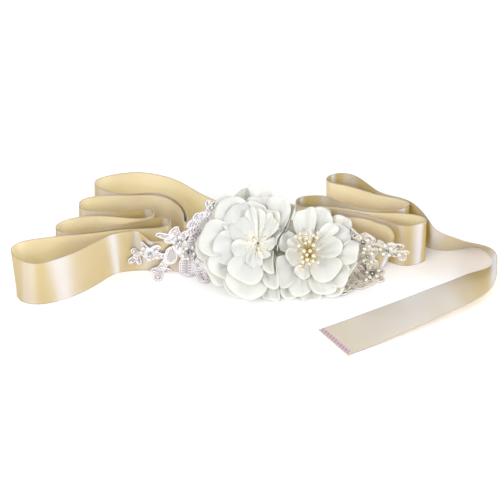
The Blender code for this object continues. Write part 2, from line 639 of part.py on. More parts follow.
def lace_sheet(name, path, lobes):
    """A flat grid cut along the edge of the lobes, then laid on the band."""
    reach = max(lobe[4] for lobe in lobes) + LACE_CELL
    across = [lobe[i] for lobe in lobes for i in (0, 2)]
    up = [lobe[i] for lobe in lobes for i in (1, 3)]
    left, right = min(across) - reach, max(across) + reach
    low, high = min(up) - reach, max(up) + reach
    columns, rows = math.ceil((right - left) / LACE_CELL), math.ceil((high - low) / LACE_CELL)
    sheet = bmesh.new()
    bmesh.ops.create_grid(sheet, x_segments=columns, y_segments=rows, size=0.5)
    for vertex in sheet.verts:
        vertex.co = (left + (vertex.co.x + 0.5) * columns * LACE_CELL,
                     low + (vertex.co.y + 0.5) * rows * LACE_CELL, 0)
    bmesh.ops.triangulate(sheet, faces=sheet.faces)
    value = {vertex: lobe_value(vertex.co.x, vertex.co.y, lobes) for vertex in sheet.verts}
    for edge in list(sheet.edges):
        start, end = edge.verts
        if value[start] * value[end] < 0:
            part_way = value[start] / (value[start] - value[end])
            _, cut = bmesh.utils.edge_split(edge, start, min(0.75, max(0.25, part_way)))
            value[cut] = 0.0
    for face in list(sheet.faces):
        cuts = [vertex for vertex in face.verts if value[vertex] == 0.0]
        if len(cuts) == 2:
            bmesh.utils.face_split(face, *cuts)
    outside = [face for face in sheet.faces if min(value[vertex] for vertex in face.verts) < 0]
    bmesh.ops.delete(sheet, geom=outside, context="FACES")
    for vertex in sheet.verts:
        vertex.co = lace_point(path, vertex.co.x, vertex.co.y)[0]
    bmesh.ops.recalc_face_normals(sheet, faces=sheet.faces)
    mesh = bpy.data.meshes.new(name)
    sheet.to_mesh(mesh)
    sheet.free()
    return mesh


def unite(target, mesh, name, cutters, meets_itself=False):
    """Join a closed mesh to the target by a union, moved to the model's origin with it."""
    mesh.transform(Matrix.Translation(-TABLE_CENTRE))
    extra = bpy.data.objects.new(name, mesh)
    cutters.objects.link(extra)
    extra.hide_render = True
    extra.display_type = "WIRE"
    union = target.modifiers.new("union", "BOOLEAN")
    union.operation = "UNION"
    union.solver = "EXACT"
    union.use_self = meets_itself
    union.object = extra


def make_lace(path, group, cutters):
    """The two lace pieces, each with its set stones raised from the wall."""
    for name, (lobes, stones) in LACE_PIECES.items():
        piece = new_object(name, lace_sheet(name, path, lobes), LACE, group)
        thicken(piece)
        beads = bmesh.new()
        for x, height, diameter in stones:
            seat, front = lace_point(path, x, height)
            radius = 0.5 * diameter * MM
            seat += front * (STONE_DOME * radius - STONE_SINK)
            seat.z = max(seat.z, radius + LACE_FLOOR_GAP)
            squash = Matrix.Diagonal((radius, radius, STONE_DOME * radius, 1))
            turned = front.to_track_quat("Z", "Y").to_matrix().to_4x4()
            bmesh.ops.create_uvsphere(beads, u_segments=6, v_segments=4, radius=1.0,
                                      matrix=Matrix.Translation(seat) @ turned @ squash)
        mesh = bpy.data.meshes.new(name + "_stones")
        beads.to_mesh(mesh)
        beads.free()
        unite(piece, mesh, name + "_stones", cutters)


def make_stamens(group, cutters):
    """A small dome with bead-tipped stalks, as one solid."""
    right, up, out = flower_axes()
    base, radius = STAMEN_ROOT
    root = FLOWER_2_CENTRE + out * (base * MM)
    turned = Matrix((right, up, out)).transposed().to_4x4()
    dome = bmesh.new()
    bmesh.ops.create_uvsphere(dome, u_segments=8, v_segments=6, radius=radius * MM)
    for vertex in dome.verts:
        vertex.co.z = max(vertex.co.z, 0.0)
    bmesh.ops.remove_doubles(dome, verts=dome.verts, dist=0.02 * MM)
    bmesh.ops.transform(dome, verts=dome.verts, matrix=Matrix.Translation(root) @ turned)
    mesh = bpy.data.meshes.new("flower_2_stamens")
    dome.to_mesh(mesh)
    dome.free()
    stamens = new_object("flower_2_stamens", mesh, PETAL, group)

    stalks = bmesh.new()
    for direction, reach, height in STAMENS:
        turn = math.radians(direction)
        tip = FLOWER_2_CENTRE + (right * (reach * math.cos(turn)) + up * (reach * math.sin(turn))
                                 + out * height) * MM
        start = root + out * (0.4 * radius * MM)
        line = tip - start
        aim = line.to_track_quat("Z", "Y").to_matrix().to_4x4()
        bmesh.ops.create_cone(stalks, cap_ends=True, segments=4, radius1=0.5 * STAMEN_STALK,
                              radius2=0.5 * STAMEN_STALK, depth=line.length,
                              matrix=Matrix.Translation(start + 0.5 * line) @ aim)
        bmesh.ops.create_uvsphere(stalks, u_segments=6, v_segments=5, radius=0.5 * STAMEN_BEAD,
                                  matrix=Matrix.Translation(tip) @ aim)
    mesh = bpy.data.meshes.new("flower_2_stalks")
    stalks.to_mesh(mesh)
    stalks.free()
    unite(stamens, mesh, "flower_2_stalks", cutters, meets_itself=True)


def main():
    for leftover in list(bpy.data.objects):
        bpy.data.objects.remove(leftover, do_unlink=True)
    group = bpy.data.collections.new(COLLECTION)
    bpy.context.scene.collection.children.link(group)
    cutters = bpy.data.collections.new(COLLECTION + "_cutters")
    bpy.context.scene.collection.children.link(cutters)
    path = RibbonPath(RIBBON)
    make_ribbon(path, group)
    make_flowers(group)
    make_stamens(group, cutters)
    make_lace(path, group, cutters)


main()
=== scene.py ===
"""Bridal sash in its real cloth: a satin ribbon, two fabric flowers, corded lace, pearls and stones.

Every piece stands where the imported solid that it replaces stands. The tables are in millimetres
and degrees and have the same coordinates as the part's own; the scene is in metres, +Z up.
"""

import math

import bmesh
import bpy
import numpy as np
from mathutils import Matrix, Vector

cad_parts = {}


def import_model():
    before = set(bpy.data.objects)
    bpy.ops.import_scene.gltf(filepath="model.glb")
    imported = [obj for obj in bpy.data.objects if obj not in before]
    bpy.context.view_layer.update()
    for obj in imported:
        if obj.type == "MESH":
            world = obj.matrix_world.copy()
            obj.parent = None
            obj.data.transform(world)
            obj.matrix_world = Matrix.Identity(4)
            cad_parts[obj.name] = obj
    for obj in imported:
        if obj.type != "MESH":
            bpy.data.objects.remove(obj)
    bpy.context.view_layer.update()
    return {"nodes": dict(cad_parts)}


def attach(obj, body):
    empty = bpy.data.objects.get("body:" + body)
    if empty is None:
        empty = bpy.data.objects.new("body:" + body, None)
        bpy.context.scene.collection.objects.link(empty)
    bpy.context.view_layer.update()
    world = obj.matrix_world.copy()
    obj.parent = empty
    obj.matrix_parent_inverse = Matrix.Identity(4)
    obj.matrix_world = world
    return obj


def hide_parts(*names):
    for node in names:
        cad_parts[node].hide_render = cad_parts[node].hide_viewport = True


MM = 0.001
TABLE_CENTRE = np.array([2.85, -16.2, 0.0])   # the model's origin in the coordinates of the tables (mm)

# --- sizes (mm) ---------------------------------------------------------------------------

SOLID_WALL = 1.0                # thickness of the cloth in the solids
RIBBON_WIDTH = 38.0
RIBBON_CLOTH = 0.36             # thickness of the satin
SELVAGE_CLOTH = 0.50            # the woven edge is thicker than the rest
RIBBON_STEP = 1.1               # distance between two sections of the ribbon
RIBBON_ROWS = 12                # squares across the ribbon
SELVAGE_ROWS = (0, 0.012, 0.03)   # heights of the rows at its edges, as parts of its width
EASING = 2.4                    # how far the cloth's own stiffness evens out its bends
SWELLS = ((47.0, 0.10, 0.4, 0.9), (31.0, 0.06, 2.1, -1.4))   # length, depth, phase, lean
PETAL_CLOTH = 0.34
LACE_CLOTH = 0.45
LACE_CORD = 0.95                # diameter of the cord that outlines the lace
LACE_RIB = 0.9                  # diameter of the thread ribs inside its leaves
LACE_CELL = 0.8                 # grid that the lace is cut from
LACE_STAND_OFF = 1.5            # from the middle of the band to the middle of the lace
LACE_FLOOR = 0.5                # height of the lace's middle where it lies on the table
LACE_FOLD = 1.0                 # how softly it bends on to the table
LACE_BAND_END = 95.0            # x where the lace leaves the band and goes straight on
LACE_END_LEAN, LACE_END_MOST = 0.8, 6.0   # its lean past there: degrees for each mm, and the most
LACE_END_FORWARD = 0.15         # and how far forward it comes for each mm
OUTLINE_RISE, INNER_RISE, RIB_RISE = 0.45, 0.38, 0.36   # cords and ribs over the lace's middle
INNER_INSET = 1.5               # from the outlining cord to the row inside it
WIDE_LOBE, RIBBED_LOBE = 4.2, 2.8   # half widths from which a lobe has an inner row, and ribs
RIB_SPACING, RIB_SLANT = 2.2, 0.8
RIB_START, RIB_END = 1.6, 1.0   # from a lobe's tips to its first and last rib
CAP_STEP, SIDE_STEP = 0.8, 0.9   # distance between two points round a lobe's end and along its side
PEARL = 3.4
SEED_PEARL = 2.2
PEARL_LIFT = 0.25               # a pearl's lowest point over the lace's front, on its cords
PEARL_FLOOR = 0.1               # and its least height over the table
STONE_SHARE = 0.78              # a stone with its claws, against the boss raised for it in the solid
STONE_SEAT, STONE_LIFT = 0.28, 0.6   # its middle over the lace's: a part of its size, and more
OVAL_LIFT = OVAL_THICKNESS = 0.9   # cabochons: the middle over the lace's, and half the thickness
STAMEN_BEAD = 3.0
STAMEN_STALK = 0.7
STAMEN_GROUND = (4.6, 4.6, 2.6)   # half sizes of the dome that the stamens spring from
STITCHES, STITCH_RADIUS = 21, 0.34
STITCH_FIRST, STITCH_SPAN = 1.2, 32.6   # the first stitch from the ribbon's edge, and all of them
STITCH_PATH = (                 # back from the cut end, along it, and over the cloth's middle
    (4.2, 0, 0.15), (3.9, 0.1, 0.5), (2.4, 1.1, 0.55), (1.4, 1.7, 0.55), (1.1, 1.85, 0.4), (0.9, 1.9, 0.1))
TUBE_SIDES = 6

# --- details of the finishes (m) ----------------------------------------------------------

COOL_SHINE, WARM_SHINE = "a2c2f6", "fffdf2"   # the highlights of the satin's face and of its reverse
SATIN_PITCH, FLOAT_LENGTH = 0.0007, 0.014   # one warp thread, and how far it runs over the weft
THREAD_PITCH = 0.0009           # one ply of the embroidery thread
FACET = 0.0016                  # a facet of the cut glass
WAVE_UNIT = 0.31416             # a wave texture's bands are this far apart at a scale of 1

# The ribbon's lower edge from its hidden left end to the cut end of the tail.
# Columns: x, y, then lift, tilt and compass side of the tilt where the ribbon isn't upright.
RIBBON = [
    (-16, 30), (-30, 39.1), (-37.5, 45), (-45, 52), (-56, 61.5), (-67.6, 67.2), (-82.6, 70.8),
    (-97.6, 69), (-107.5, 66), (-114.5, 62.4),
    (-117.4, 57.8), (-114.6, 52.8), (-108.9, 48.6), (-103.6, 46), (-97, 44.6), (-86, 44.5), (-75, 45.3),
    (-67, 44.2), (-60.6, 41), (-54, 34.4), (-49.2, 26), (-47.2, 17), (-47, 10),
    (-48.2, 8.2), (-49.4, 10), (-49.6, 17), (-51.4, 25), (-55.6, 32.4), (-61.6, 38.6), (-67.6, 41.8),
    (-75, 42.9), (-90, 42.2), (-105, 42.4), (-116, 41.4), (-123.5, 38.8), (-127.6, 35),
    (-128.6, 30.4), (-126.4, 26.4), (-120.5, 24), (-112, 23.2), (-94, 23.4), (-83, 25.6), (-77, 26.2),
    (-73.2, 24.8),
    (-71.6, 21.2), (-73, 17.6), (-76.6, 15), (-82, 13.9), (-90, 14.2), (-101.4, 15.8), (-112.7, 17.2),
    (-121, 17), (-129, 15.8), (-136, 13.2), (-142, 9.4),
    (-145.8, 3.6), (-144, -0.6), (-138.6, -2.7), (-131, -3.2), (-122, -2.4), (-114, 0), (-105, 3.4),
    (-90, 8.6), (-79, 11.4), (-70, 14.2), (-64.6, 15.6), (-60.4, 14),
    (-58.6, 10), (-60.2, 6), (-64.6, 3.8), (-74, 2.2), (-84, 1.4), (-95, 0.4), (-105, -1.4),
    (-114, -3.2), (-128, -5.2), (-143, -7.4), (-156, -9.8), (-165.2, -13.6, 0, 3, 135),
    (-171.6, -19.4, 0, 7, 135),
    (-174.6, -28, 0, 9, 140), (-173, -35, 0, 6, 130), (-167.5, -40, 0, 2, 110), (-158, -41.6, 0, 2, 90),
    (-149, -40, 0, 4, 90), (-139, -35.8, 0, 6, 90), (-129, -29.6, 0, 7, 90), (-120, -22.4, 0, 6.5, 90),
    (-112, -14.6, 0, 5, 90), (-105, -7.8, 0, 2.5, 90), (-98, -3), (-91, -1.2), (-84, -0.4),
    (-81.5, -0.3, 0, 3, -90), (-75.5, -0.2, 0.1, 18, -90), (-70, -0.2, 0.1, 18, -90),
    (-62, -0.6, 0.1, 15, -90), (-50, -2.6), (-38, -6.6, 0.1, 20, 90), (-24, -11.4, 0.1, 34, 90),
    (-6, -14, 0.1, 38.8, 90), (20, -14.4, 0.1, 38.8, 90), (44, -14.2, 0.1, 38, 90),
    (58, -11.6, 0.1, 35, 90), (70, -7.2, 0.1, 24, 90), (82, -2.4, 0.1, 2, -90),
    (93, -0.2, 0.1, 17, -90),
    (98.2, 1.2, 0.8, 22, -86), (101.8, 3, 3.2, 27, -80), (104, 5, 6.4, 32, -76),
    (104.8, 7, 8.6, 29, -74), (103.4, 9, 6.6, 19, -80), (100.2, 9.4, 3, 9, -84), (96, 9.6, 0.6, 3, -90),
    (90, 12, 0.1, 0, -90), (82.6, 14.4), (73, 15.9), (64, 16.6), (55, 17.2), (50.6, 18.8),
    (48.6, 22), (50.6, 25.2), (56.3, 26.2), (67.6, 24.6), (76, 22.4), (84, 19.7), (92, 16.4),
    (100, 12.7), (107, 8.4), (112.5, 5.8), (118, 5.2), (124, 6.8), (129.6, 9.4, 0, 1, 0),
    (132.2, 12.2, 0, 2, 0), (130.2, 15.4, 0, 1, 0), (124, 18.4), (113, 20.3), (98, 21), (84, 23),
    (75, 25.2), (67, 27), (57, 28.6), (48, 28.4), (40.6, 28), (36, 29.6),
    (33.8, 34.4), (36, 39.2), (41.5, 41.7), (49, 42.3), (56.5, 41.6), (61.5, 38.8), (67.5, 34.4),
    (75, 30.2), (84, 26.4), (94, 24.4), (105, 24), (113, 25.8), (118.2, 28.6),
    (120.2, 31.6), (118.2, 34.8), (112.5, 37.4), (105, 40.2), (97.6, 42.6), (90, 45.8), (82.6, 49.5),
    (75, 53.1), (67, 56), (60, 58.4),
    (56.6, 62), (58.6, 66), (63, 68.6), (69, 69.6), (75, 68.8), (80, 66), (85, 60.8), (90, 54.4),
    (96, 47.4), (104, 42.8), (113, 39.6), (119.6, 37, 0, 3, -70),
    (125, 32.8, 0, 9, -72), (129.5, 29.4, 0, 19, -74), (133.8, 27.2, 0.1, 30, -79.5),
    (138.4, 24.8, 0.1, 32.5, -79), (142.7, 23.6, 0, 34.2, -81.5), (150.2, 23.8, 0, 37.4, -84.5),
    (157.7, 25.6, 0, 43, -85), (165.2, 28, 0, 48, -84), (171.2, 27.4, 0, 50, -82.5),
    (176.5, 23.2, 0, 50, -81), (180.2, 17.1, 0, 51, -81.5), (182.4, 9.8, 0, 53.5, -85.5),
    (180.6, 4.2, 0, 58.5, -83), (175, 0.2, 0, 66, -76),
    (165.2, -4.4, 0, 75, -69.8), (150.2, -13.6, 0, 80.5, -68.8), (135, -23, 0, 82, -67),
    (113, -36.6, 0, 84, -62.5), (94, -48, 0, 86, -59.5), (84, -54, 0, 87, -57.5),
    (78, -57.4, 0, 87.8, -56.5), (64, -65.4, 0, 89.2, -55), (51.1, -72.8, 0, 90, -54.5),
]

# Petal layers, back to front: name, height of the middle, rise at BOWL_RADIUS, then the petals.
# Petal columns: direction (90 is up), reach, half angle, level, roll of the left edge, cup, curl of
# the tip, sweep (degrees).
BOWL_RADIUS = 40.0
PETAL_TILT = 40.0
FLOWER_1_CENTRE = np.array([6.0, -6.0, 31.0])
FLOWER_2_CENTRE = np.array([44.0, -12.2, 25.8])
FLOWER_1_LAYERS = [
    ("flower_1_back_petals", -10.7, 7.4, [
        (38, 41.5, 22, -0.6, 1.2, 1.0, 0, 0), (66, 38.5, 20, -0.4, 1.2, 1.0, 0, 0),
        (110, 42.5, 20, -0.4, 1.2, 1.0, -1.6, 0), (87, 45.5, 21, 0.4, 1.2, 1.4, 0.8, 0),
        (137, 44.5, 24, 0.2, 1.2, 1.4, 1.2, 0), (184, 46.5, 25, -0.4, 1.2, 1.2, 0, 0),
        (213, 45.5, 25, 0.3, 1.2, 1.6, 0.4, 0), (250, 44, 27, -0.2, 1.2, 1.2, 0, 0),
        (284, 46.5, 14, 0.4, 1.0, 1.0, 0.4, 0), (316, 33, 24, 0, 1.0, 0.6, 0, 0),
        (6, 28, 24, 0, 0.8, 0.6, 0, 0)]),
    ("flower_1_outer_petals", -8.2, 12.5, [
        (15, 26, 24, -0.4, 1.0, 0.6, 0, 0), (53, 38, 26, 0.4, 1.3, 1.8, -1.0, 4),
        (93, 36, 25, -0.4, 1.2, 1.4, -2.6, -4), (130, 41, 30, 0.3, 1.4, 1.6, -3.2, 5),
        (176, 43.6, 28, 0.4, 1.3, 1.4, -2.8, -3), (213, 41, 27, -0.4, 1.2, 1.2, -2.4, 4),
        (257, 44.5, 31, 0.4, 1.4, 1.8, -2.0, -4), (300, 39, 27, -0.2, 1.2, 0.8, -0.6, 0)]),
    ("flower_1_inner_petals", -5.8, 15.0, [
        (22, 20, 26, -0.3, 0.9, 0.4, 0, 0), (60, 27, 24, 0.3, 1.0, 1.0, -1.6, 6),
        (95, 31, 25, -0.3, 1.0, 1.2, -3.0, 0), (136, 33, 32, 0.3, 1.2, 1.0, -4.4, -6),
        (188, 34, 34, -0.3, 1.3, 0.8, -4.6, 6), (248, 34, 35, 0.4, 1.4, 2.2, -1.0, -4),
        (306, 27, 28, -0.3, 1.0, 0.6, 0, 0)]),
    ("flower_1_middle_petals", -3.4, 18.0, [
        (353, 13.5, 33, 0, 1.0, 0.6, 0, 0), (42, 21, 17, 0.5, 1.8, 1.6, 0, 6),
        (64, 23, 15, 0.1, 1.8, 1.6, -0.6, 4), (86, 25, 16, -0.3, 1.8, 1.6, -0.8, 0),
        (108, 26, 15, 0.3, 1.2, 1.2, -2.8, -4), (149, 24, 34, 0, 1.2, 0.4, -5.0, -8),
        (206, 21, 36, 0.4, 1.2, 0.4, -4.6, 0), (256, 20, 28, -0.2, 1.2, 0.6, -3.2, 8),
        (298, 14, 28, 0.3, 1.2, 0.8, -0.6, 0)]),
]
FLOWER_2_LAYERS = [
    ("flower_2_back_petals", -10.6, 8.0, [
        (77, 36.5, 23, 0.2, 1.2, 1.2, 0.4, 0), (118, 29, 24, 0, 1.0, 0.8, 0, 0),
        (204, 33, 26, -0.2, 1.0, 0.8, 0, 0), (42, 39.5, 20, 0.2, 1.2, 1.0, 1.2, 0),
        (8, 34, 22, -0.4, 1.0, 1.0, 0, 0), (150, 28, 24, 0.2, 1.0, 0.8, 0, 0),
        (237, 38, 24, 0.2, 1.0, 1.0, 0, 0), (273, 37, 20, -0.2, 1.0, 1.2, 0, 0),
        (308, 38.5, 22, 0.2, 1.2, 1.2, 0, 0), (340, 36, 22, -0.2, 1.2, 1.2, 0, 0)]),
    ("flower_2_outer_petals", -8.2, 12.5, [
        (358, 37.8, 22, 0.4, 1.3, 1.4, -1.4, 5), (33, 34.5, 23, -0.2, 1.2, 1.4, -1.8, 0),
        (69, 35.5, 22, -0.5, 1.2, 1.4, -0.8, 0), (100, 34, 22, 0.5, 1.2, 1.6, -1.2, -4),
        (150, 25, 27, 0, 0.9, 0.6, 0, 0), (212, 34, 30, 0.3, 1.0, 1.0, -0.8, 6),
        (257, 34, 22, -0.3, 1.2, 1.2, -1.0, 0), (290, 35, 23, 0.4, 1.2, 1.4, -1.4, 4),
        (324, 36, 24, -0.4, 1.2, 1.4, -1.2, 0)]),
    ("flower_2_inner_petals", -5.8, 16.0, [
        (12, 25.5, 28, 0.3, 1.1, 1.4, -2.2, 0), (54, 29, 15, 0.5, 1.6, 1.2, -1.2, -8),
        (96, 18, 22, -0.2, 0.8, 0.8, -1.0, 0), (140, 18, 28, 0.2, 0.8, 1.0, 0, 0),
        (196, 17, 36, 0.3, 1.0, 1.6, 0.6, 0), (252, 20, 28, -0.2, 1.0, 1.0, -0.6, 0),
        (312, 27.5, 38, 0.4, 1.4, 2.0, -1.0, 6)]),
]

# Where the two flowers press on each other. The seam between them stands at MEETING_X, wavers, leans
# to the right above MEETING_RISE and bulges to the left below it; petals that reach it climb.
MEETING_X, MEETING_RISE, MEETING_LEAN, MEETING_BULGE = 22.0, 18.0, 0.45, 3.2
MEETING_BULGE_DROP, MEETING_BULGE_REACH = 20.0, 13.0
MEETING_WAVER, MEETING_WAVER_LENGTH = 0.6, 5.0
MEETING_GAP = 0.3
MEETING_LAP = 0.9               # half of what the first flower's petals lap over the second's
MEETING_CLIMB = {1: 0.42, -1: 0.22}   # for the first and the second flower
MEETING_STAGGER = 1.3
LAYER_PRESS, PRESS_SOFTNESS, PRESS_BACK = 0.8, 1.2, 1.08

# How a petal is cut and pressed.
PETAL_COLUMNS, PETAL_RINGS = 20, 16
PETAL_SPACING = 97.0            # between one petal and the next on the flat cloth (mm)
PETAL_ROOT = 0.8                # radius of the hole that the stitches close (mm)
PETAL_NOTCH = 0.52              # where a petal's side edge turns in, as a part of its reach
PETAL_FLOOR, PETAL_FOLD = 0.5, 0.5   # least height over the table, and how softly it bends there (mm)
EDGE_WAVER, EDGE_SKEW = 0.02, 0.07   # unevenness of the cut edge, as parts of its reach
BOWL_POWER = 1.25               # a layer's bowl steepens towards its rim
RUFFLE, WRINKLE = 1.3, 0.22     # waves at the petals' edges and over the whole petal (mm)
PLEAT, PLEAT_REACH = 0.35, 9.0   # pleats at their roots, and how far they run (mm)
DENTS = ((0.12, 1.0, 0.8), (0.62, 3.1, 0.7))   # most offset from the midline, seed factor, depth (mm)
DENT_WIDTH = 0.13

# Stamens of the second flower. Columns: right and up from its centre, height of the bead over it.
STAMENS = [
    (-9.9, 10.7, 7.5), (-6.5, 13.1, 7.5), (-2.2, 12.4, 8.5), (-1.7, 9.2, 9.6), (0.4, 6.4, 10.4),
    (-6.2, 9.6, 8.6), (3.4, 11.4, 8.8), (6.6, 13.6, 7.6), (6.0, 9.8, 8.8), (3.4, 3.6, 10.8),
    (-2.6, 5.4, 10.2), (-3.6, -0.8, 10.6), (-1.4, -3.8, 10.8), (0.9, -0.9, 11.4), (3.6, -4.4, 10.2),
    (-5.0, -5.0, 9.4), (-1.2, -7.2, 9.8), (3.0, -8.0, 9.2), (0.4, -10.2, 9.0), (-4.6, -8.6, 8.8),
    (-6.4, -11.4, 7.8), (-4.6, -14.2, 7.6), (6.8, -8.8, 8.0), (6.4, 0.6, 9.6), (-7.4, 3.6, 8.6)]
STAMEN_ROOT_OUT, STAMEN_ROOT_HEIGHT = 1.6, -3.6   # where they spring from the dome

# Where the lace's part of the waist band starts and ends: a row of the ribbon, and how far past it (mm).
LACE_BAND_ENDS = ((92, -20.0), (107, 4.0))

# The corded lace. For each piece: lobes (x and height up the band of the two ends, half width),
# set stones (x, height, diameter of the boss in the solid), pearls and seed pearls (x, height),
# and pale ovals (x, height, length, width, turn).
LACE_PIECES = {
    "lace_left": dict(
        lobes=[
            (-87.2, 20.0, -85.0, 17.5, 2.7), (-89.3, 11.0, -86.0, 13.5, 2.7),
            (-83.2, 9.9, -83.8, 14.0, 2.6), (-84.2, 16.4, -77.8, 20.4, 1.9),
            (-77.8, 20.4, -74.2, 26.9, 3.4), (-76.9, 29.9, -74.2, 26.9, 3.4),
            (-74.2, 26.9, -70.5, 32.6, 3.5), (-74.2, 26.9, -69.3, 22.8, 3.5),
            (-74.9, 19.6, -74.2, 26.9, 3.5), (-71.3, 2.6, -67.6, 4.2, 2.9),
            (-69.0, -9.6, -67.2, 2.6, 3.1), (-61.2, 1.6, -65.6, 4.0, 2.9),
            (-66.4, 5.0, -62.6, 14.5, 3.2), (-55.6, 35.0, -58.3, 47.4, 3.6),
            (-55.6, 35.0, -51.0, 36.6, 3.8), (-55.6, 35.0, -61.2, 40.6, 3.6),
            (-55.6, 35.0, -53.2, 27.3, 3.8), (-60.8, 42.5, -68.4, 49.7, 2.6),
            (-58.8, 26.0, -60.0, 14.8, 4.9), (-69.1, 20.8, -62.9, 21.2, 3.0),
            (-47.0, 20.5, -47.0, 20.5, 7.4), (-53.2, 26.3, -47.0, 19.6, 5.2),
            (-47.3, 10.7, -47.0, 2.5, 6.0), (-34.6, 16.2, -38.6, 8.0, 4.4),
            (-38.6, 8.0, -34.4, -3.4, 4.4),
            (-45.0, 28.0, -47.0, 20.0, 4.0), (-36.4, 36.5, -44.0, 31.2, 3.3),
            (-36.8, 37.8, -46.6, 37.2, 3.3), (-36.8, 39.0, -45.6, 43.8, 3.3), (-36.2, 40.0, -41.2, 47.4, 3.2),
            (-35.2, 40.0, -37.0, 47.4, 3.1), (-34.2, 39.0, -33.2, 47.2, 3.0),
            (-32.6, 56.4, -30.6, 53.0, 2.5), (-26.9, 56.2, -30.6, 53.0, 2.5),
            (-30.6, 53.0, -34.0, 48.0, 2.3)],
        stones=[(-74.3, 26.1, 5.2), (-55.0, 33.6, 5.4), (-46.8, 20.2, 5.4)],
        pearls=[
            (-55.1, 39.5), (-50.9, 31.8), (-53.8, 27.4), (-58.6, 31.4), (-60.0, 39.2), (-51.4, 18.6),
            (-49.2, 25.0), (-42.6, 18.6), (-44.2, 24.2), (-46.9, 15.3), (-70.6, 30.2), (-75.0, 19.6),
            (-77.2, 29.6), (-78.6, 22.6), (-70.0, 22.4)],
        seeds=[
            (-87.4, 20.6), (-84.0, 10.7), (-89.6, 10.6), (-87.4, 14.6), (-82.2, 17.4), (-67.8, 49.4),
            (-72.0, 2.6), (-66.6, 7.4), (-60.8, 1.6), (-69.2, -10.4), (-58.4, 48.6), (-32.6, 57.1),
            (-26.7, 56.7), (-30.1, 53.1), (-34.8, 38.4), (-42.6, 29.4)],
        ovals=[(-59.4, 20.4, 13.6, 6.2, 94)]),
    "lace_right": dict(
        lobes=[
            (77.7, 36.5, 82.0, 35.2, 3.4), (79.8, 30.8, 85.8, 33.9, 4.1), (85.8, 33.9, 90.4, 41.4, 4.5),
            (85.8, 33.9, 88.4, 18.9, 5.4), (83.3, 25.1, 87.8, 25.4, 5.2), (88.4, 18.9, 91.4, 27.4, 4.6),
            (80.8, 17.4, 88.4, 18.9, 3.9), (92.2, 32.9, 102.3, 37.8, 4.4), (99.4, 41.9, 102.3, 36.1, 4.0),
            (102.3, 36.1, 106.2, 45.3, 4.0), (102.3, 36.1, 108.3, 31.0, 3.6),
            (106.1, 43.6, 112.2, 44.8, 3.6), (111.3, 34.9, 116.6, 35.9, 3.0),
            (114.3, 35.5, 114.2, 25.6, 3.2), (108.3, 34.3, 112.1, 35.0, 3.0),
            (82.9, 16.0, 76.4, 7.1, 3.6), (76.4, 7.1, 72.3, 0.3, 3.4), (72.3, 0.3, 75.3, -10.4, 3.4),
            (75.3, -10.4, 83.0, -16.8, 4.2), (83.0, -16.8, 89.9, -13.2, 4.2),
            (89.9, -13.2, 91.3, -4.9, 4.4), (82.9, 16.0, 91.7, 12.5, 4.0), (91.7, 12.5, 91.3, -4.9, 4.4),
            (91.3, -4.9, 96.5, -10.5, 4.0), (96.5, -1.9, 91.3, -4.9, 3.8), (80.9, 5.1, 85.3, -2.6, 3.8),
            (85.3, -2.6, 91.3, -4.9, 4.4), (70.3, 4.6, 70.8, -14.8, 2.2), (76.4, 7.1, 70.3, 4.6, 2.3),
            (65.6, -18.0, 70.8, -14.8, 3.8), (70.8, -14.8, 75.3, -17.7, 3.8),
            (70.1, -20.0, 70.8, -14.8, 3.6), (76.8, 1.6, 81.5, -7.5, 4.6)],
        stones=[
            (86.5, 34.2, 5.2), (89.8, 20.3, 5.2), (102.9, 37.9, 5.4), (91.7, -4.9, 5.2),
            (79.7, 35.7, 3.0), (111.9, 45.4, 3.8), (108.6, 31.7, 3.2)],
        pearls=[
            (85.6, 38.9), (90.4, 41.2), (91.0, 34.6), (87.6, 28.9), (82.6, 25.4), (92.2, 26.2),
            (86.2, 24.2), (85.8, 15.6), (91.2, 15.4), (82.6, 30.2), (102.1, 46.2), (106.2, 43.6),
            (104.5, 32.8), (100.4, 31.8), (98.6, 37.0), (112.4, 34.6), (87.2, -3.6), (89.4, -9.8),
            (94.6, -9.8), (95.8, -3.2), (91.6, 0.6), (86.6, -12.8)],
        seeds=[
            (71.0, 2.4), (76.5, 37.2), (76.9, 33.4), (73.6, -17.9), (69.9, -8.2), (70.9, -4.2),
            (66.6, -18.6), (70.2, -20.4), (70.6, -12.6), (109.4, 41.0), (96.0, 34.2)],
        ovals=[(114.5, 30.9, 7.2, 5.0, 70)]),
}
SILVER_LEAVES = ((64.0, 120.0), (-22.0, 60.0))   # x and height of the part worked in silver thread

# The studio's soft boxes. Columns: name, azimuth from the front (right is +), elevation, width and
# height (m), brightness, colour.
SOFT_BOXES = [
    ("left_window", -62, 32, 1.0, 1.6, 2.3, "fbfcff"),
    ("left_front_box", -24, 38, 1.0, 1.2, 3.8, "fbfcff"),
    ("right_strip_box", 49, 18, 0.6, 1.0, 10.8, "fbfcff"),
    ("right_rear_box", 142, 53, 1.5, 1.0, 1.6, "fbfcff"),
    ("back_panel", 182, 38, 2.0, 1.2, 1.6, "fbfcff"),
]
BOX_DISTANCE = 1.9
ROOM_LIGHT = 0.38
CAMERA_DISTANCE, CAMERA_LENS = 14.0, 1342.2   # far off and long, so the view is almost parallel (m, mm)
CAMERA_ELEVATION = 38.0         # degrees
CAMERA_AIM = (-2.85, 40.6, 0)   # in the scene's own axes (mm)


# --- finishes -----------------------------------------------------------------------------

def linear(colour):
    """The linear values of an sRGB hex colour."""
    parts = [int(colour[i:i + 2], 16) / 255 for i in (0, 2, 4)]
    return (*[part / 12.92 if part <= 0.04045 else ((part + 0.055) / 1.055) ** 2.4 for part in parts], 1.0)


def add(tree, kind, settings=None, links=None):
    """Add a node; settings are its own properties or its sockets' values, links go to its sockets."""
    made = tree.nodes.new(kind)
    for key, value in (settings or {}).items():
        if isinstance(key, str) and hasattr(made, key):
            setattr(made, key, value)
        else:
            made.inputs[key].default_value = value
    for key, source in (links or {}).items():
        tree.links.new(source, made.inputs[key])
    return made


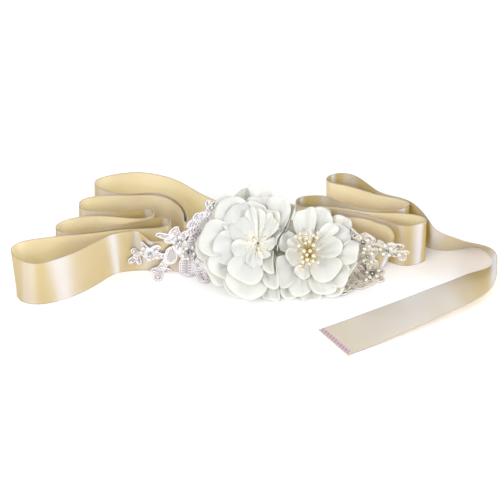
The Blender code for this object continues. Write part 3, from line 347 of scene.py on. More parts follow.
def finish(name, settings):
    """A new material with one Principled shader; returns it with its tree and the shader."""
    made = bpy.data.materials.new(name)
    made.use_nodes = True
    tree = made.node_tree
    shader = tree.nodes["Principled BSDF"]
    for key, value in settings.items():
        shader.inputs[key].default_value = value
    return made, tree, shader


def cloth_place(tree):
    """Places on the flat cloth (m)."""
    return add(tree, "ShaderNodeUVMap", {"uv_map": "cloth"}).outputs[0]


def noise(tree, place, scale, detail=2.0):
    """Soft unevenness over a place, 0 to 1."""
    return add(tree, "ShaderNodeTexNoise", {"Scale": scale, "Detail": detail}, {"Vector": place}).outputs[0]


def ranged(tree, value, start, end, top=1.0, kind="LINEAR"):
    """A value mapped so that start gives 0 and end gives top."""
    return add(tree, "ShaderNodeMapRange", {"interpolation_type": kind, "From Min": start, "From Max": end,
                                            "To Max": top}, {"Value": value}).outputs[0]


def mix(tree, share, first, second):
    """Two colours blended by a share; each is a hex colour or another node's output."""
    settings, links = {"data_type": "RGBA"}, {0: share}
    for socket, colour in ((6, first), (7, second)):
        if isinstance(colour, str):
            settings[socket] = linear(colour)
        else:
            links[socket] = colour
    return add(tree, "ShaderNodeMix", settings, links).outputs[2]


def lay_on(tree, shader, colour, height, strength, distance):
    """Give a shader its colour and its fine relief."""
    tree.links.new(colour, shader.inputs["Base Color"])
    bump = add(tree, "ShaderNodeBump", {"Strength": strength, "Distance": distance}, {"Height": height})
    tree.links.new(bump.outputs[0], shader.inputs["Normal"])


def satin(name, deep, light, settings):
    """Warp-faced polyester satin: its floats run along the ribbon, so it shines in bands across it.

    The cloth is thin, so some light passes through it, and its outermost edges are a deeper gold in colour.
    """
    made, tree, shader = finish(name, {
        "Specular IOR Level": 1.0, "Subsurface Radius": (1.0, 0.9, 0.6), "Subsurface Scale": 0.003,
        **settings})
    uv = cloth_place(tree)
    stretched = add(tree, "ShaderNodeMapping", {"Scale": (1 / SATIN_PITCH, 1 / FLOAT_LENGTH, 1)},
                    {"Vector": uv})
    shade = add(tree, "ShaderNodeMath", {"operation": "MULTIPLY_ADD", 1: 0.45},
                {0: noise(tree, stretched.outputs[0], 1.0), 2: noise(tree, uv, 38.0, 1.0)})
    colour = mix(tree, shade.outputs[0], deep, light)
    across = add(tree, "ShaderNodeSeparateXYZ", {}, {0: uv}).outputs[0]
    from_middle = add(tree, "ShaderNodeMath", {"operation": "SUBTRACT", 1: RIBBON_WIDTH * MM / 2},
                      {0: across})
    out = add(tree, "ShaderNodeMath", {"operation": "ABSOLUTE"}, {0: from_middle.outputs[0]})
    edge = ranged(tree, out.outputs[0], 0.0181, 0.0186, 0.6)
    warp = add(tree, "ShaderNodeTexWave", {"bands_direction": "X", "Scale": WAVE_UNIT / SATIN_PITCH,
                                           "Distortion": 0.6, "Detail": 1.0}, {"Vector": uv})
    lay_on(tree, shader, mix(tree, edge, colour, "b9924e"), warp.outputs[1], 0.12, 0.00006)
    tangent = add(tree, "ShaderNodeTangent", {"direction_type": "UV_MAP", "uv_map": "cloth"})
    tree.links.new(tangent.outputs[0], shader.inputs["Tangent"])
    return made


def petal_cloth(name, shaded_petals):
    """Heat-pressed ivory polyester: matt, softly fuzzy, dyed pale yellow towards the heart, with flecks.

    The first few petals of a layer can be painted grey, as painted shade for back petals that lie in shadow.
    """
    made, tree, shader = finish(name, {
        "Roughness": 0.72, "IOR": 1.5, "Specular IOR Level": 0.3, "Sheen Weight": 0.15,
        "Sheen Roughness": 0.5, "Subsurface Weight": 0.5, "Subsurface Radius": (1.0, 0.95, 0.75),
        "Subsurface Scale": 0.003})
    uv = cloth_place(tree)
    apart = add(tree, "ShaderNodeSeparateXYZ", {}, {0: uv})
    heart = ranged(tree, apart.outputs[1], 0.015, 0.002, kind="SMOOTHSTEP")
    colour = mix(tree, noise(tree, uv, 60.0), "e3e1d5", "e9e8db")
    if shaded_petals:
        last = (shaded_petals - 0.5) * PETAL_SPACING * MM
        # painted shade: the layer's first petals are painted grey to stand for the shadow they lie in
        colour = mix(tree, ranged(tree, apart.outputs[0], last + 0.001, last), colour, "c2c3b7")
    colour = mix(tree, heart, colour, "faf7e2")
    flecks = ranged(tree, noise(tree, uv, 1 / 0.0035, 1.0), 0.56, 0.66)
    ochre = add(tree, "ShaderNodeMath", {"operation": "MULTIPLY"}, {0: flecks, 1: heart})
    colour = mix(tree, ochre.outputs[0], colour, "c79a35")
    lay_on(tree, shader, colour, noise(tree, uv, 1 / 0.0006, 1.0), 0.10, 0.0001)
    return made


def thread(name, deep, light, settings):
    """Twisted embroidery thread: slanting plies along it."""
    made, tree, shader = finish(name, settings)
    plies = add(tree, "ShaderNodeTexWave", {"bands_direction": "DIAGONAL", "Scale": WAVE_UNIT / THREAD_PITCH},
                {"Vector": cloth_place(tree)}).outputs[1]
    lay_on(tree, shader, mix(tree, plies, deep, light), plies, 0.4, 0.0001)
    return made


def spotted(name, deep, light, size, settings):
    """A finish whose colour and surface vary softly over spots of a size (m)."""
    made, tree, shader = finish(name, settings)
    spots = noise(tree, add(tree, "ShaderNodeTexCoord").outputs["Object"], 1 / size)
    lay_on(tree, shader, mix(tree, spots, deep, light), spots, 0.1, size / 10)
    return made


def cut_glass():
    """Foil-backed glass: each facet is a small mirror with a painted reflection, some painted bright and some
    nearly black.
    """
    made, tree, shader = finish("foil_backed_crystal_with_painted_glints", {
        "Metallic": 0.9, "Roughness": 0.07, "Coat Weight": 1.0, "Coat Roughness": 0.03})
    place = add(tree, "ShaderNodeTexCoord").outputs["Object"]
    facets = add(tree, "ShaderNodeTexVoronoi", {"Scale": 1 / FACET}, {"Vector": place})
    # painted reflection: each facet's base colour is painted either bright or nearly black
    painted_glints = ranged(tree, facets.outputs["Color"], 0.25, 0.65)
    tree.links.new(mix(tree, painted_glints, "2c2b31", "eceef2"), shader.inputs["Base Color"])
    return made


# --- shared modelling ---------------------------------------------------------------------

def unit(vectors):
    """The directions of vectors."""
    return vectors / np.linalg.norm(vectors, axis=-1, keepdims=True)


def above_floor(height, floor, softness):
    """Heights that settle softly on a floor instead of going below it."""
    return 0.5 * (height + floor + np.hypot(height - floor, softness))


def surface(name, points, faces, cloth, finishes, marks=None):
    """A mesh piece from points in the tables' coordinates (mm), faces and cloth coordinates (mm).

    Marks are each face's number in the list of finishes.
    """
    mesh = bpy.data.meshes.new(name)
    mesh.from_pydata(((np.asarray(points) - TABLE_CENTRE) * MM).tolist(), [], faces)
    layer = mesh.uv_layers.new(name="cloth")
    corners = np.empty(len(mesh.loops), dtype=int)
    mesh.loops.foreach_get("vertex_index", corners)
    layer.data.foreach_set("uv", (np.asarray(cloth)[corners] * MM).ravel())
    if marks:
        mesh.polygons.foreach_set("material_index", marks)
    mesh.shade_smooth()
    made = bpy.data.objects.new(name, mesh)
    bpy.context.collection.objects.link(made)
    for each in finishes:
        mesh.materials.append(each)
    return made


def grid_faces(columns, rows, first=0):
    """Squares of a grid whose points run column by column, rows + 1 points to a column."""
    i, j = np.meshgrid(np.arange(columns), np.arange(rows), indexing="ij")
    corner = (first + i * (rows + 1) + j).ravel()
    return np.column_stack([corner, corner + rows + 1, corner + rows + 2, corner + 1]).tolist()


def give_wall(piece, cloth, reverse=0, group=""):
    """Give a sheet its thickness (mm), half on each side of it, all of it where a group is full."""
    wall = piece.modifiers.new("wall", "SOLIDIFY")
    wall.thickness = cloth * MM
    wall.offset = 0.0
    wall.use_even_offset = False
    wall.material_offset = reverse
    if group:
        wall.vertex_group = group
        wall.thickness_vertex_group = RIBBON_CLOTH / SELVAGE_CLOTH
    bpy.ops.object.select_all(action="DESELECT")
    piece.select_set(True)
    bpy.context.view_layer.objects.active = piece
    bpy.ops.object.modifier_apply(modifier=wall.name)


def tubes(name, lines, finishes):
    """Round threads joined in one piece. Each line is (points, fronts, radius, closed, finish index)."""
    points, faces, cloth, marks = [], [], [], []
    ring = range(TUBE_SIDES)
    turns = [2 * math.pi * k / TUBE_SIDES for k in ring]
    for line, fronts, radius, closed, mark in lines:
        line, fronts = np.asarray(line, dtype=float), np.asarray(fronts, dtype=float)
        count = len(line)
        ahead = np.roll(line, -1, axis=0) - np.roll(line, 1, axis=0)
        if not closed:
            ahead[0], ahead[-1] = line[1] - line[0], line[-1] - line[-2]
        ahead /= np.linalg.norm(ahead, axis=1, keepdims=True) + 1e-9
        aside = np.cross(ahead, fronts)
        aside /= np.linalg.norm(aside, axis=1, keepdims=True) + 1e-9
        front = np.cross(aside, ahead)
        run = np.concatenate([[0], np.cumsum(np.linalg.norm(np.diff(line, axis=0), axis=1))])
        first = len(points)
        for i in range(count):
            points += [line[i] + radius * (math.cos(turn) * aside[i] + math.sin(turn) * front[i])
                       for turn in turns]
            cloth += [(run[i], radius * turn) for turn in turns]
        for i in range(count if closed else count - 1):
            a, b = first + i * TUBE_SIDES, first + (i + 1) % count * TUBE_SIDES
            faces += [(a + k, a + (k + 1) % TUBE_SIDES, b + (k + 1) % TUBE_SIDES, b + k) for k in ring]
        if not closed:
            last = first + (count - 1) * TUBE_SIDES
            faces += [[first + k for k in reversed(ring)], [last + k for k in ring]]
        marks += [mark] * (len(faces) - len(marks))
    return surface(name, points, faces, cloth, finishes, marks)


def frame_at(place, front, size):
    """A matrix that sets a unit model at a place (mm) with its +Z along front, scaled to size (mm)."""
    turn = Vector(front).to_track_quat("Z", "Y").to_matrix().to_4x4()
    move = Matrix.Translation((Vector(place) - Vector(TABLE_CENTRE)) * MM)
    return move @ turn @ Matrix.Diagonal((*(np.ones(3) * size * MM), 1))


def set_out(name, model, places):
    """Copy a modelled piece to each place, each copy with its own mesh, and join them into one."""
    bpy.ops.object.select_all(action="DESELECT")
    for place in places:
        copy = bpy.data.objects.new(name, model.data.copy())
        copy.data.transform(place)
        bpy.context.collection.objects.link(copy)
        copy.select_set(True)
        bpy.context.view_layer.objects.active = copy
    bpy.ops.object.join()
    made = bpy.context.view_layer.objects.active
    bpy.data.objects.remove(model)
    made.name = name
    return made


def model_bead(bead_finish, segments=16, rings=10):
    """A round bead of radius 1, pressed flat a little underneath where it sits."""
    bpy.ops.object.select_all(action="DESELECT")
    bpy.ops.mesh.primitive_uv_sphere_add(segments=segments, ring_count=rings, radius=1.0)
    bead = bpy.context.object
    for vertex in bead.data.vertices:
        if vertex.co.z < -0.95:
            vertex.co.z = -0.9
    bpy.ops.object.shade_smooth()
    bead.data.materials.append(bead_finish)
    return bead


def model_stone(glass, metal):
    """A faceted stone of radius 1 in a claw setting: girdle, crown, table, rim and four claws."""
    bpy.ops.object.select_all(action="DESELECT")
    bpy.ops.mesh.primitive_cylinder_add(vertices=10, radius=0.9, depth=0.5, end_fill_type="NGON")
    stone = bpy.context.object
    bpy.ops.object.mode_set(mode="EDIT")
    shape = bmesh.from_edit_mesh(stone.data)
    for face in shape.faces:
        face.select_set(face.normal.z > 0.9)
    bmesh.update_edit_mesh(stone.data)
    for rise, narrowing in ((0.22, 0.78), (0.14, 0.72)):
        bpy.ops.mesh.extrude_region_move(TRANSFORM_OT_translate={"value": (0, 0, rise)})
        bpy.ops.transform.resize(value=(narrowing, narrowing, 1))
    bpy.ops.transform.rotate(value=math.radians(18), orient_axis="Z", center_override=(0, 0, 0))
    bpy.ops.object.mode_set(mode="OBJECT")
    stone.data.materials.append(glass)
    bpy.ops.mesh.primitive_torus_add(major_radius=0.92, minor_radius=0.16, major_segments=16,
                                     minor_segments=6, location=(0, 0, 0.12))
    metalwork = [bpy.context.object]
    for turn in np.radians([45, 135, 225, 315]):
        bpy.ops.mesh.primitive_uv_sphere_add(segments=8, ring_count=6, radius=0.2,
                                             location=(0.84 * math.cos(turn), 0.84 * math.sin(turn), 0.34))
        metalwork.append(bpy.context.object)
    bpy.ops.object.select_all(action="DESELECT")
    for part in metalwork:
        part.data.materials.append(metal)
        part.data.shade_smooth()
        part.select_set(True)
    stone.select_set(True)
    bpy.context.view_layer.objects.active = stone
    bpy.ops.object.transform_apply(location=True, rotation=True, scale=True)
    bpy.ops.object.join()
    return stone


def place_piece(piece, slot, *nodes):
    """The piece moves with the sash and stands for these nodes; the slot is not used."""
    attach(piece, "root")
    if nodes:
        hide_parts(*nodes)


# --- the ribbon ---------------------------------------------------------------------------

class RibbonPath:
    """The ribbon's lower edge and lean as smooth functions of the distance along its rows (mm)."""

    def __init__(self, rows):
        full = np.array([row if len(row) > 2 else (*row, 0, 0, 90) for row in rows], dtype=float)
        turn = np.radians(full[:, 4])
        self.values = np.column_stack([full[:, :3], full[:, 3] * np.cos(turn), full[:, 3] * np.sin(turn)])
        steps = np.hypot(np.diff(full[:, 0]), np.diff(full[:, 1]))
        self.knots = np.concatenate([[0.0], np.cumsum(steps)])
        self.slopes = np.gradient(self.values, self.knots, axis=0)

    def sections(self, distance, wall=RIBBON_CLOTH):
        """Lower edge points and unit directions across the ribbon at distances, for a wall (mm)."""
        distance = np.asarray(distance, dtype=float)
        i = np.clip(np.searchsorted(self.knots, distance) - 1, 0, len(self.knots) - 2)
        span = self.knots[i + 1] - self.knots[i]
        t = (distance - self.knots[i]) / span
        ahead, level = (t * t * (3 - 2 * t))[:, None], (span * t * (1 - t))[:, None]
        curve = self.values[i] * (1 - ahead) + self.values[i + 1] * ahead
        t = t[:, None]
        curve = curve + level * ((1 - t) * self.slopes[i] - t * self.slopes[i + 1])
        tilt = np.radians(np.minimum(90.0, np.hypot(curve[:, 3], curve[:, 4])))
        side = np.arctan2(curve[:, 4], curve[:, 3])
        across = np.column_stack([np.sin(tilt) * np.cos(side), np.sin(tilt) * np.sin(side), np.cos(tilt)])
        edge = curve[:, :3].copy()
        edge[:, 2] += 0.5 * wall * np.sin(tilt)
        return edge, across


def eased(values, reach, step):
    """Values along the ribbon with their sharp changes evened out over a reach."""
    half = int(math.ceil(3 * reach / step))
    weights = np.exp(-0.5 * (np.arange(-half, half + 1) * step / reach) ** 2)
    weights /= weights.sum()
    before, after = 2 * values[0] - values[half:0:-1], 2 * values[-1] - values[-2:-half - 2:-1]
    padded = np.concatenate([before, values, after])
    return np.column_stack([np.convolve(column, weights, mode="valid") for column in padded.T])


def make_ribbon(path, finishes):
    """The whole ribbon as one length of satin with thicker woven edges."""
    count = int(path.knots[-1] / RIBBON_STEP)
    stops = np.linspace(0, path.knots[-1], count + 1)
    edge, across = path.sections(stops)
    edge, across = eased(edge, EASING, stops[1]), unit(eased(across, EASING, stops[1]))
    heights = np.array([*SELVAGE_ROWS, *np.linspace(0, 1, RIBBON_ROWS + 1)[1:-1],
                        *(1 - row for row in reversed(SELVAGE_ROWS))])
    rows = len(heights) - 1
    normal = unit(np.cross(np.gradient(edge, axis=0), across))
    points = edge[:, None] + across[:, None] * (heights * RIBBON_WIDTH)[None, :, None]
    swell = sum(depth * np.sin(2 * np.pi * stops[:, None] / length + phase + lean * heights)
                for length, depth, phase, lean in SWELLS)
    points += normal[:, None] * swell[:, :, None]
    cloth = np.stack(np.broadcast_arrays(heights * RIBBON_WIDTH, stops[:, None]), axis=-1)
    ribbon = surface("satin_ribbon", points.reshape(-1, 3), grid_faces(count, rows),
                     cloth.reshape(-1, 2), finishes)
    woven = ribbon.vertex_groups.new(name="selvage")
    edges = [i * (rows + 1) + j for i in range(count + 1) for j in (0, 1, rows - 1, rows)]
    woven.add(edges, 1.0, "REPLACE")
    give_wall(ribbon, SELVAGE_CLOTH, reverse=1, group="selvage")
    # The tail lies flat, where its thicker selvage would otherwise sink into the table.
    for corner in ribbon.data.vertices:
        corner.co.z = max(corner.co.z, 0.0)
    return ribbon


# --- the flowers --------------------------------------------------------------------------

def flower_axes():
    """Up along the flowers' tilted faces, and out of them."""
    tilt = math.radians(PETAL_TILT)
    return np.array([0, math.cos(tilt), math.sin(tilt)]), np.array([0, -math.sin(tilt), math.cos(tilt)])


def petal_outline(t, reach):
    """How far a petal reaches, from one side edge (t is -1) over its tip (0) to the other (1)."""
    return reach * (PETAL_NOTCH + (1 - PETAL_NOTCH) * np.sqrt(np.maximum(0, 1 - np.abs(t) ** 3)))


def petal_surface(centre, side, nest, order, base, bowl, petal):
    """The points of one petal and its cloth coordinates, on its layer's bowl.

    The factors on seed are there only to keep the petals from being alike.
    """
    direction, reach, span, level, roll, cup, curl, sweep = petal
    t = np.sin(np.linspace(-np.pi / 2, np.pi / 2, PETAL_COLUMNS + 1))[:, None]
    u = np.linspace(0, 1, PETAL_RINGS + 1)[None, :]
    seed = 1.7 * order + 0.9 * nest + side
    outline = petal_outline(t, reach) * (
        1 + EDGE_WAVER * np.sin(5.2 * t + 2.1 * seed) + EDGE_SKEW * math.sin(2.3 * seed) * t)
    radius = PETAL_ROOT + (outline - PETAL_ROOT) * u
    gone = radius / reach
    turn = np.radians(direction + span * t + sweep * gone ** 2)
    x, rise = radius * np.cos(turn), radius * np.sin(turn)
    up, out = flower_axes()

    # sideways: the petal is pressed back where it meets the other flower
    above = rise + up @ centre - MEETING_RISE
    seam = MEETING_X + MEETING_LAP * side + MEETING_LEAN * np.maximum(0, above)
    seam = seam + MEETING_WAVER * np.sin(above / MEETING_WAVER_LENGTH)
    seam = seam - MEETING_BULGE * np.exp(-((above + MEETING_BULGE_DROP) / MEETING_BULGE_REACH) ** 2)
    room = side * (seam - centre[0]) - MEETING_GAP - LAYER_PRESS * nest
    room = room + MEETING_STAGGER * math.sin(1.9 * seed)
    excess = PRESS_SOFTNESS * np.logaddexp(0, (side * x - room) / PRESS_SOFTNESS)
    pressed = side * (side * x - PRESS_BACK * excess)

    # outwards: bowl and climb, roll and cup, curl of the tip, ruffle, wrinkles, dents and pleats
    lift = base + bowl * (radius / BOWL_RADIUS) ** BOWL_POWER + MEETING_CLIMB[side] * excess + level
    lift = lift - roll * (1 + 0.4 * math.sin(2.9 * order + nest)) * t * gone
    lift = lift + 0.7 * cup * t * t * gone ** 2 * u
    lift = lift + curl * np.maximum(0, (gone - 0.5) / 0.5) ** 2
    lift = lift + RUFFLE * gone ** 2.5 * np.sin(2.1 * np.pi * t + seed)
    lift = lift + WRINKLE * np.sin(9 * t + 2.3 * seed) * gone
    for offset, factor, depth in DENTS:
        dent = np.exp(-((t - offset * math.sin(factor * seed)) / DENT_WIDTH) ** 2)
        lift = lift - depth * dent * 4 * gone * np.maximum(0, 1 - gone)
    lift = lift + PLEAT * np.sin(3 * np.pi * t + seed) * np.exp(-(radius / PLEAT_REACH) ** 2)

    points = centre + pressed[..., None] * np.array([1, 0, 0]) + rise[..., None] * up + lift[..., None] * out
    points[..., 2] = above_floor(points[..., 2], PETAL_FLOOR, PETAL_FOLD)
    cloth = np.stack([np.radians(span) * t * radius + PETAL_SPACING * order, radius], axis=-1)
    return points.reshape(-1, 3), cloth.reshape(-1, 2)


def make_flower(layers, centre, side, cloth_finishes):
    """One flower, layer by layer; returns each layer's piece, node, width (m) and flat area (m2)."""
    made = []
    for (nest, (name, base, bowl, petals)), cloth_finish in zip(enumerate(layers), cloth_finishes):
        points, cloths, faces, area = [], [], [], 0.0
        for order, petal in enumerate(petals):
            place, cloth = petal_surface(centre, side, nest, order, base, bowl, petal)
            faces += [face[::-1] for face in grid_faces(PETAL_COLUMNS, PETAL_RINGS, sum(map(len, points)))]
            points.append(place)
            cloths.append(cloth)
            outline = petal_outline(np.linspace(-1, 1, 201), petal[1])
            area += 0.5 * math.radians(2 * petal[2]) * float(np.mean(outline ** 2))
        piece = surface(name + "_cloth", np.concatenate(points), faces, np.concatenate(cloths),
                        [cloth_finish])
        give_wall(piece, PETAL_CLOTH)
        width = 2 * max(petal[1] for petal in petals) * MM
        made.append((piece, name, width, area * MM * MM))
    return made


def make_stamens(centre, bead_finish, stalk_finish, ground_finish):
    """Bead-tipped stamens that spring from a small dome at the flower's heart."""
    right, (up, out) = np.array([1.0, 0, 0]), flower_axes()
    steps = np.linspace(0, 1, 9)[:, None]
    places, lines = [], []
    for order, (x, rise, height) in enumerate(STAMENS):
        reach = math.hypot(x, rise)
        along = (x * right + rise * up) / reach
        tip = centre + along * reach + out * height
        root = centre + along * STAMEN_ROOT_OUT + out * STAMEN_ROOT_HEIGHT
        bend = centre + along * reach * 0.55 + out * (0.62 * height + 1.0)
        line = (1 - steps) ** 2 * root + 2 * steps * (1 - steps) * bend + steps ** 2 * tip
        lines.append((line, np.tile(np.cross(along, out), (len(steps), 1)), STAMEN_STALK / 2, False, 0))
        size = STAMEN_BEAD / 2 * (1 + 0.12 * math.sin(2.4 * order))
        places.append(frame_at(tip, along + out, size))
    beads = set_out("stamen_beads", model_bead(bead_finish), places)
    stalks = tubes("stamen_stalks", lines, [stalk_finish])
    dome = set_out("stamen_ground", model_bead(ground_finish, 20, 12),
                   [frame_at(centre + out * STAMEN_ROOT_HEIGHT, out, STAMEN_GROUND)])
    return beads, stalks, dome


# --- the lace -----------------------------------------------------------------------------

class LaceGround:
    """The surface that the lace lies on: the front of the band, then straight on, then the table."""

    def __init__(self, path):
        self.path = path
        low, high = (path.knots[row] + extra for row, extra in LACE_BAND_ENDS)
        self.distances = np.arange(low, high, 0.25)
        self.x = path.sections(self.distances)[0][:, 0]

    def lay(self, x, height):
        """Points of the lace at x and height up the band, and the directions away from the band."""
        x, height = np.asarray(x, dtype=float), np.asarray(height, dtype=float)
        past = np.maximum(0.0, x - LACE_BAND_END)
        distance = np.interp(x - past, self.x, self.distances)
        edge, across = self.path.sections(distance, SOLID_WALL)
        before, lean_before = self.path.sections(distance - 0.5, SOLID_WALL)
        after, lean_after = self.path.sections(distance + 0.5, SOLID_WALL)
        climb = np.maximum(height, 0.0)[:, None]
        ahead = after + lean_after * climb - before - lean_before * climb
        lean = np.radians(np.minimum(LACE_END_LEAN * past, LACE_END_MOST))
        y, z = across[:, 1].copy(), across[:, 2].copy()
        across[:, 1], across[:, 2] = y * np.cos(lean) - z * np.sin(lean), y * np.sin(lean) + z * np.cos(lean)
        front = unit(np.cross(ahead, across))
        points = edge + across * climb + front * LACE_STAND_OFF
        points[:, 0] += past
        points[:, 1] -= LACE_END_FORWARD * past
        flat = height < 0
        points[flat, 1] += height[flat]
        front[flat] = (0, 0, 1)
        points[:, 2] = above_floor(points[:, 2], LACE_FLOOR, LACE_FOLD)
        return points, front

    def lay_rows(self, rows):
        """The rows of a table (x and height come first), each with its place and its front."""
        points, fronts = self.lay([row[0] for row in rows], [row[1] for row in rows])
        return zip(points, fronts, rows)


def lobe_value(x, height, lobes):
    """More than 0 inside any of the lobes: how far inside its edge a place is (mm)."""
    best = np.full(len(x), -1e9)
    for x0, h0, x1, h1, half_width in lobes:
        run, climb = x1 - x0, h1 - h0
        length = run * run + climb * climb
        t = np.clip(((x - x0) * run + (height - h0) * climb) / length, 0, 1) if length else 0 * x
        best = np.maximum(best, half_width - np.hypot(x - x0 - t * run, height - h0 - t * climb))
    return best


def make_lace_cloth(name, ground, lobes, cloth_finish):
    """The net ground of the lace, cut along the edge of its lobes and laid on the band."""
    reach = max(lobe[4] for lobe in lobes) + LACE_CELL
    ends = np.array([(lobe[i], lobe[i + 1]) for lobe in lobes for i in (0, 2)])
    (left, low), (right, high) = ends.min(axis=0) - reach, ends.max(axis=0) + reach
    columns, rows = math.ceil((right - left) / LACE_CELL), math.ceil((high - low) / LACE_CELL)
    net = bmesh.new()
    bmesh.ops.create_grid(net, x_segments=columns, y_segments=rows, size=0.5)
    places = np.array([vertex.co for vertex in net.verts])
    places = np.column_stack([left + (places[:, 0] + 0.5) * columns * LACE_CELL,
                              low + (places[:, 1] + 0.5) * rows * LACE_CELL, 0 * places[:, 0]])
    inside = lobe_value(places[:, 0], places[:, 1], lobes)
    for vertex, place in zip(net.verts, places):
        vertex.co = place
    value = dict(zip(net.verts, inside))
    bmesh.ops.delete(net, geom=[v for v in net.verts if value[v] < -2 * LACE_CELL], context="VERTS")
    bmesh.ops.triangulate(net, faces=net.faces)
    for edge in list(net.edges):
        start, end = edge.verts
        if value[start] * value[end] < 0:
            part_way = value[start] / (value[start] - value[end])
            _, cut = bmesh.utils.edge_split(edge, start, min(0.75, max(0.25, part_way)))
            value[cut] = 0.0
    for face in list(net.faces):
        cuts = [vertex for vertex in face.verts if value[vertex] == 0.0]
        if len(cuts) == 2:
            bmesh.utils.face_split(face, *cuts)
    outside = [face for face in net.faces if min(value[vertex] for vertex in face.verts) < 0]
    bmesh.ops.delete(net, geom=outside, context="FACES")
    net.verts.index_update()
    flat = np.array([vertex.co[:2] for vertex in net.verts])
    faces = [[vertex.index for vertex in face.verts] for face in net.faces]
    area = sum(face.calc_area() for face in net.faces)
    net.free()
    piece = surface(name, ground.lay(flat[:, 0], flat[:, 1])[0], faces, flat, [cloth_finish])
    give_wall(piece, LACE_CLOTH)
    size = flat.max(axis=0) - flat.min(axis=0)
    return piece, [float(part) * MM for part in size], area * MM * MM


def capsule(lobe, inset):
    """The outline of a lobe, drawn in from its edge, as x and height."""
    x0, h0, x1, h1, half_width = lobe
    radius = half_width - inset
    heading = math.atan2(h1 - h0, x1 - x0)
    caps = max(6, int(math.pi * radius / CAP_STEP))
    sides = max(1, int(math.hypot(x1 - x0, h1 - h0) / SIDE_STEP))
    places = []
    for (x, h), start, (next_x, next_h) in (((x1, h1), -0.5, (x0, h0)), ((x0, h0), 0.5, (x1, h1))):
        for k in range(caps + 1):
            turn = heading + math.pi * (start + k / caps)
            places.append((x + radius * math.cos(turn), h + radius * math.sin(turn)))
        last = places[-1]
        places += [(last[0] + (next_x - x) * k / sides, last[1] + (next_h - h) * k / sides)
                   for k in range(1, sides)]
    return np.array(places)


def make_lace_cords(name, ground, lobes, finishes):
    """Raised cords round every lobe, a second row inside, and slanting ribs in the wide ones."""
    lines = []

    def work(places, diameter, closed, rise):
        middle = places.mean(axis=0)
        (left, right), (low, high) = SILVER_LEAVES
        silver = left < middle[0] < right and low < middle[1] < high
        points, fronts = ground.lay(places[:, 0], places[:, 1])
        lines.append((points + fronts * rise, fronts, diameter / 2, closed, int(silver)))

    for lobe in lobes:
        x0, h0, x1, h1, half_width = lobe
        work(capsule(lobe, LACE_CORD / 2), LACE_CORD, True, OUTLINE_RISE)
        if half_width > WIDE_LOBE:
            work(capsule(lobe, LACE_CORD / 2 + INNER_INSET), LACE_RIB, True, INNER_RISE)
        if half_width < RIBBED_LOBE:
            continue
        length = math.hypot(x1 - x0, h1 - h0)
        along = np.array([x1 - x0, h1 - h0]) / length if length else np.array([1.0, 0.0])
        aside = np.array([-along[1], along[0]])
        for gone in np.arange(-half_width + RIB_START, length + half_width - RIB_END, RIB_SPACING):
            beyond = max(0.0, -gone, gone - length)
            width = math.sqrt(max(0.1, half_width ** 2 - beyond ** 2)) - LACE_CORD
            for hand in (-1, 1):
                steps = np.linspace(0.15, 1, 4)[:, None]
                rib = np.array([x0, h0]) + along * (gone - RIB_SLANT * steps) + aside * hand * width * steps
                work(rib, LACE_RIB, False, RIB_RISE)
    return tubes(name, lines, finishes)


def make_beads(name, ground, rows, bead_finish, diameter):
    """Sewn-on pearls of one size."""
    places = []
    for point, front, _ in ground.lay_rows(rows):
        seat = point + front * (diameter / 2 + LACE_CLOTH / 2 + PEARL_LIFT)
        seat[2] = max(seat[2], diameter / 2 + PEARL_FLOOR)
        places.append(frame_at(seat, front, diameter / 2))
    return set_out(name, model_bead(bead_finish), places)


def make_stones(name, ground, rows, glass, metal):
    """Rhinestones in claw settings sewn to the lace."""
    places = []
    for point, front, row in ground.lay_rows(rows):
        diameter = row[2] * STONE_SHARE
        places.append(frame_at(point + front * (STONE_SEAT * diameter + STONE_LIFT), front, diameter / 2))
    return set_out(name, model_stone(glass, metal), places)


def make_ovals(name, ground, rows, glass):
    """Flat pale cabochons."""
    places = []
    for point, front, (_, _, length, width, turn) in ground.lay_rows(rows):
        places.append(frame_at(point + front * OVAL_LIFT, front, 1.0)
                      @ Matrix.Rotation(math.radians(turn), 4, "Z")
                      @ Matrix.Diagonal((length / 2, width / 2, OVAL_THICKNESS, 1)))
    return set_out(name, model_bead(glass, 20, 12), places)


# --- the tail's cut end -------------------------------------------------------------------

def make_stitches(path, finishes):
    """Overcast stitches that slant along the cut end of the tail and hold it from fraying."""
    back, along, rise = np.array(STITCH_PATH).T
    edge, across = path.sections(path.knots[-1] - back)
    upward = np.array([0, 0, 1.0])
    lines = []
    for k in range(STITCHES):
        side = STITCH_FIRST + STITCH_SPAN * k / (STITCHES - 1)
        line = edge + across * (side + along)[:, None] + rise[:, None] * upward
        lines.append((line, np.tile(upward, (len(line), 1)), STITCH_RADIUS, False, k % 2))
    return tubes("overcast_stitches", lines, finishes)


# --- the studio ---------------------------------------------------------------------------

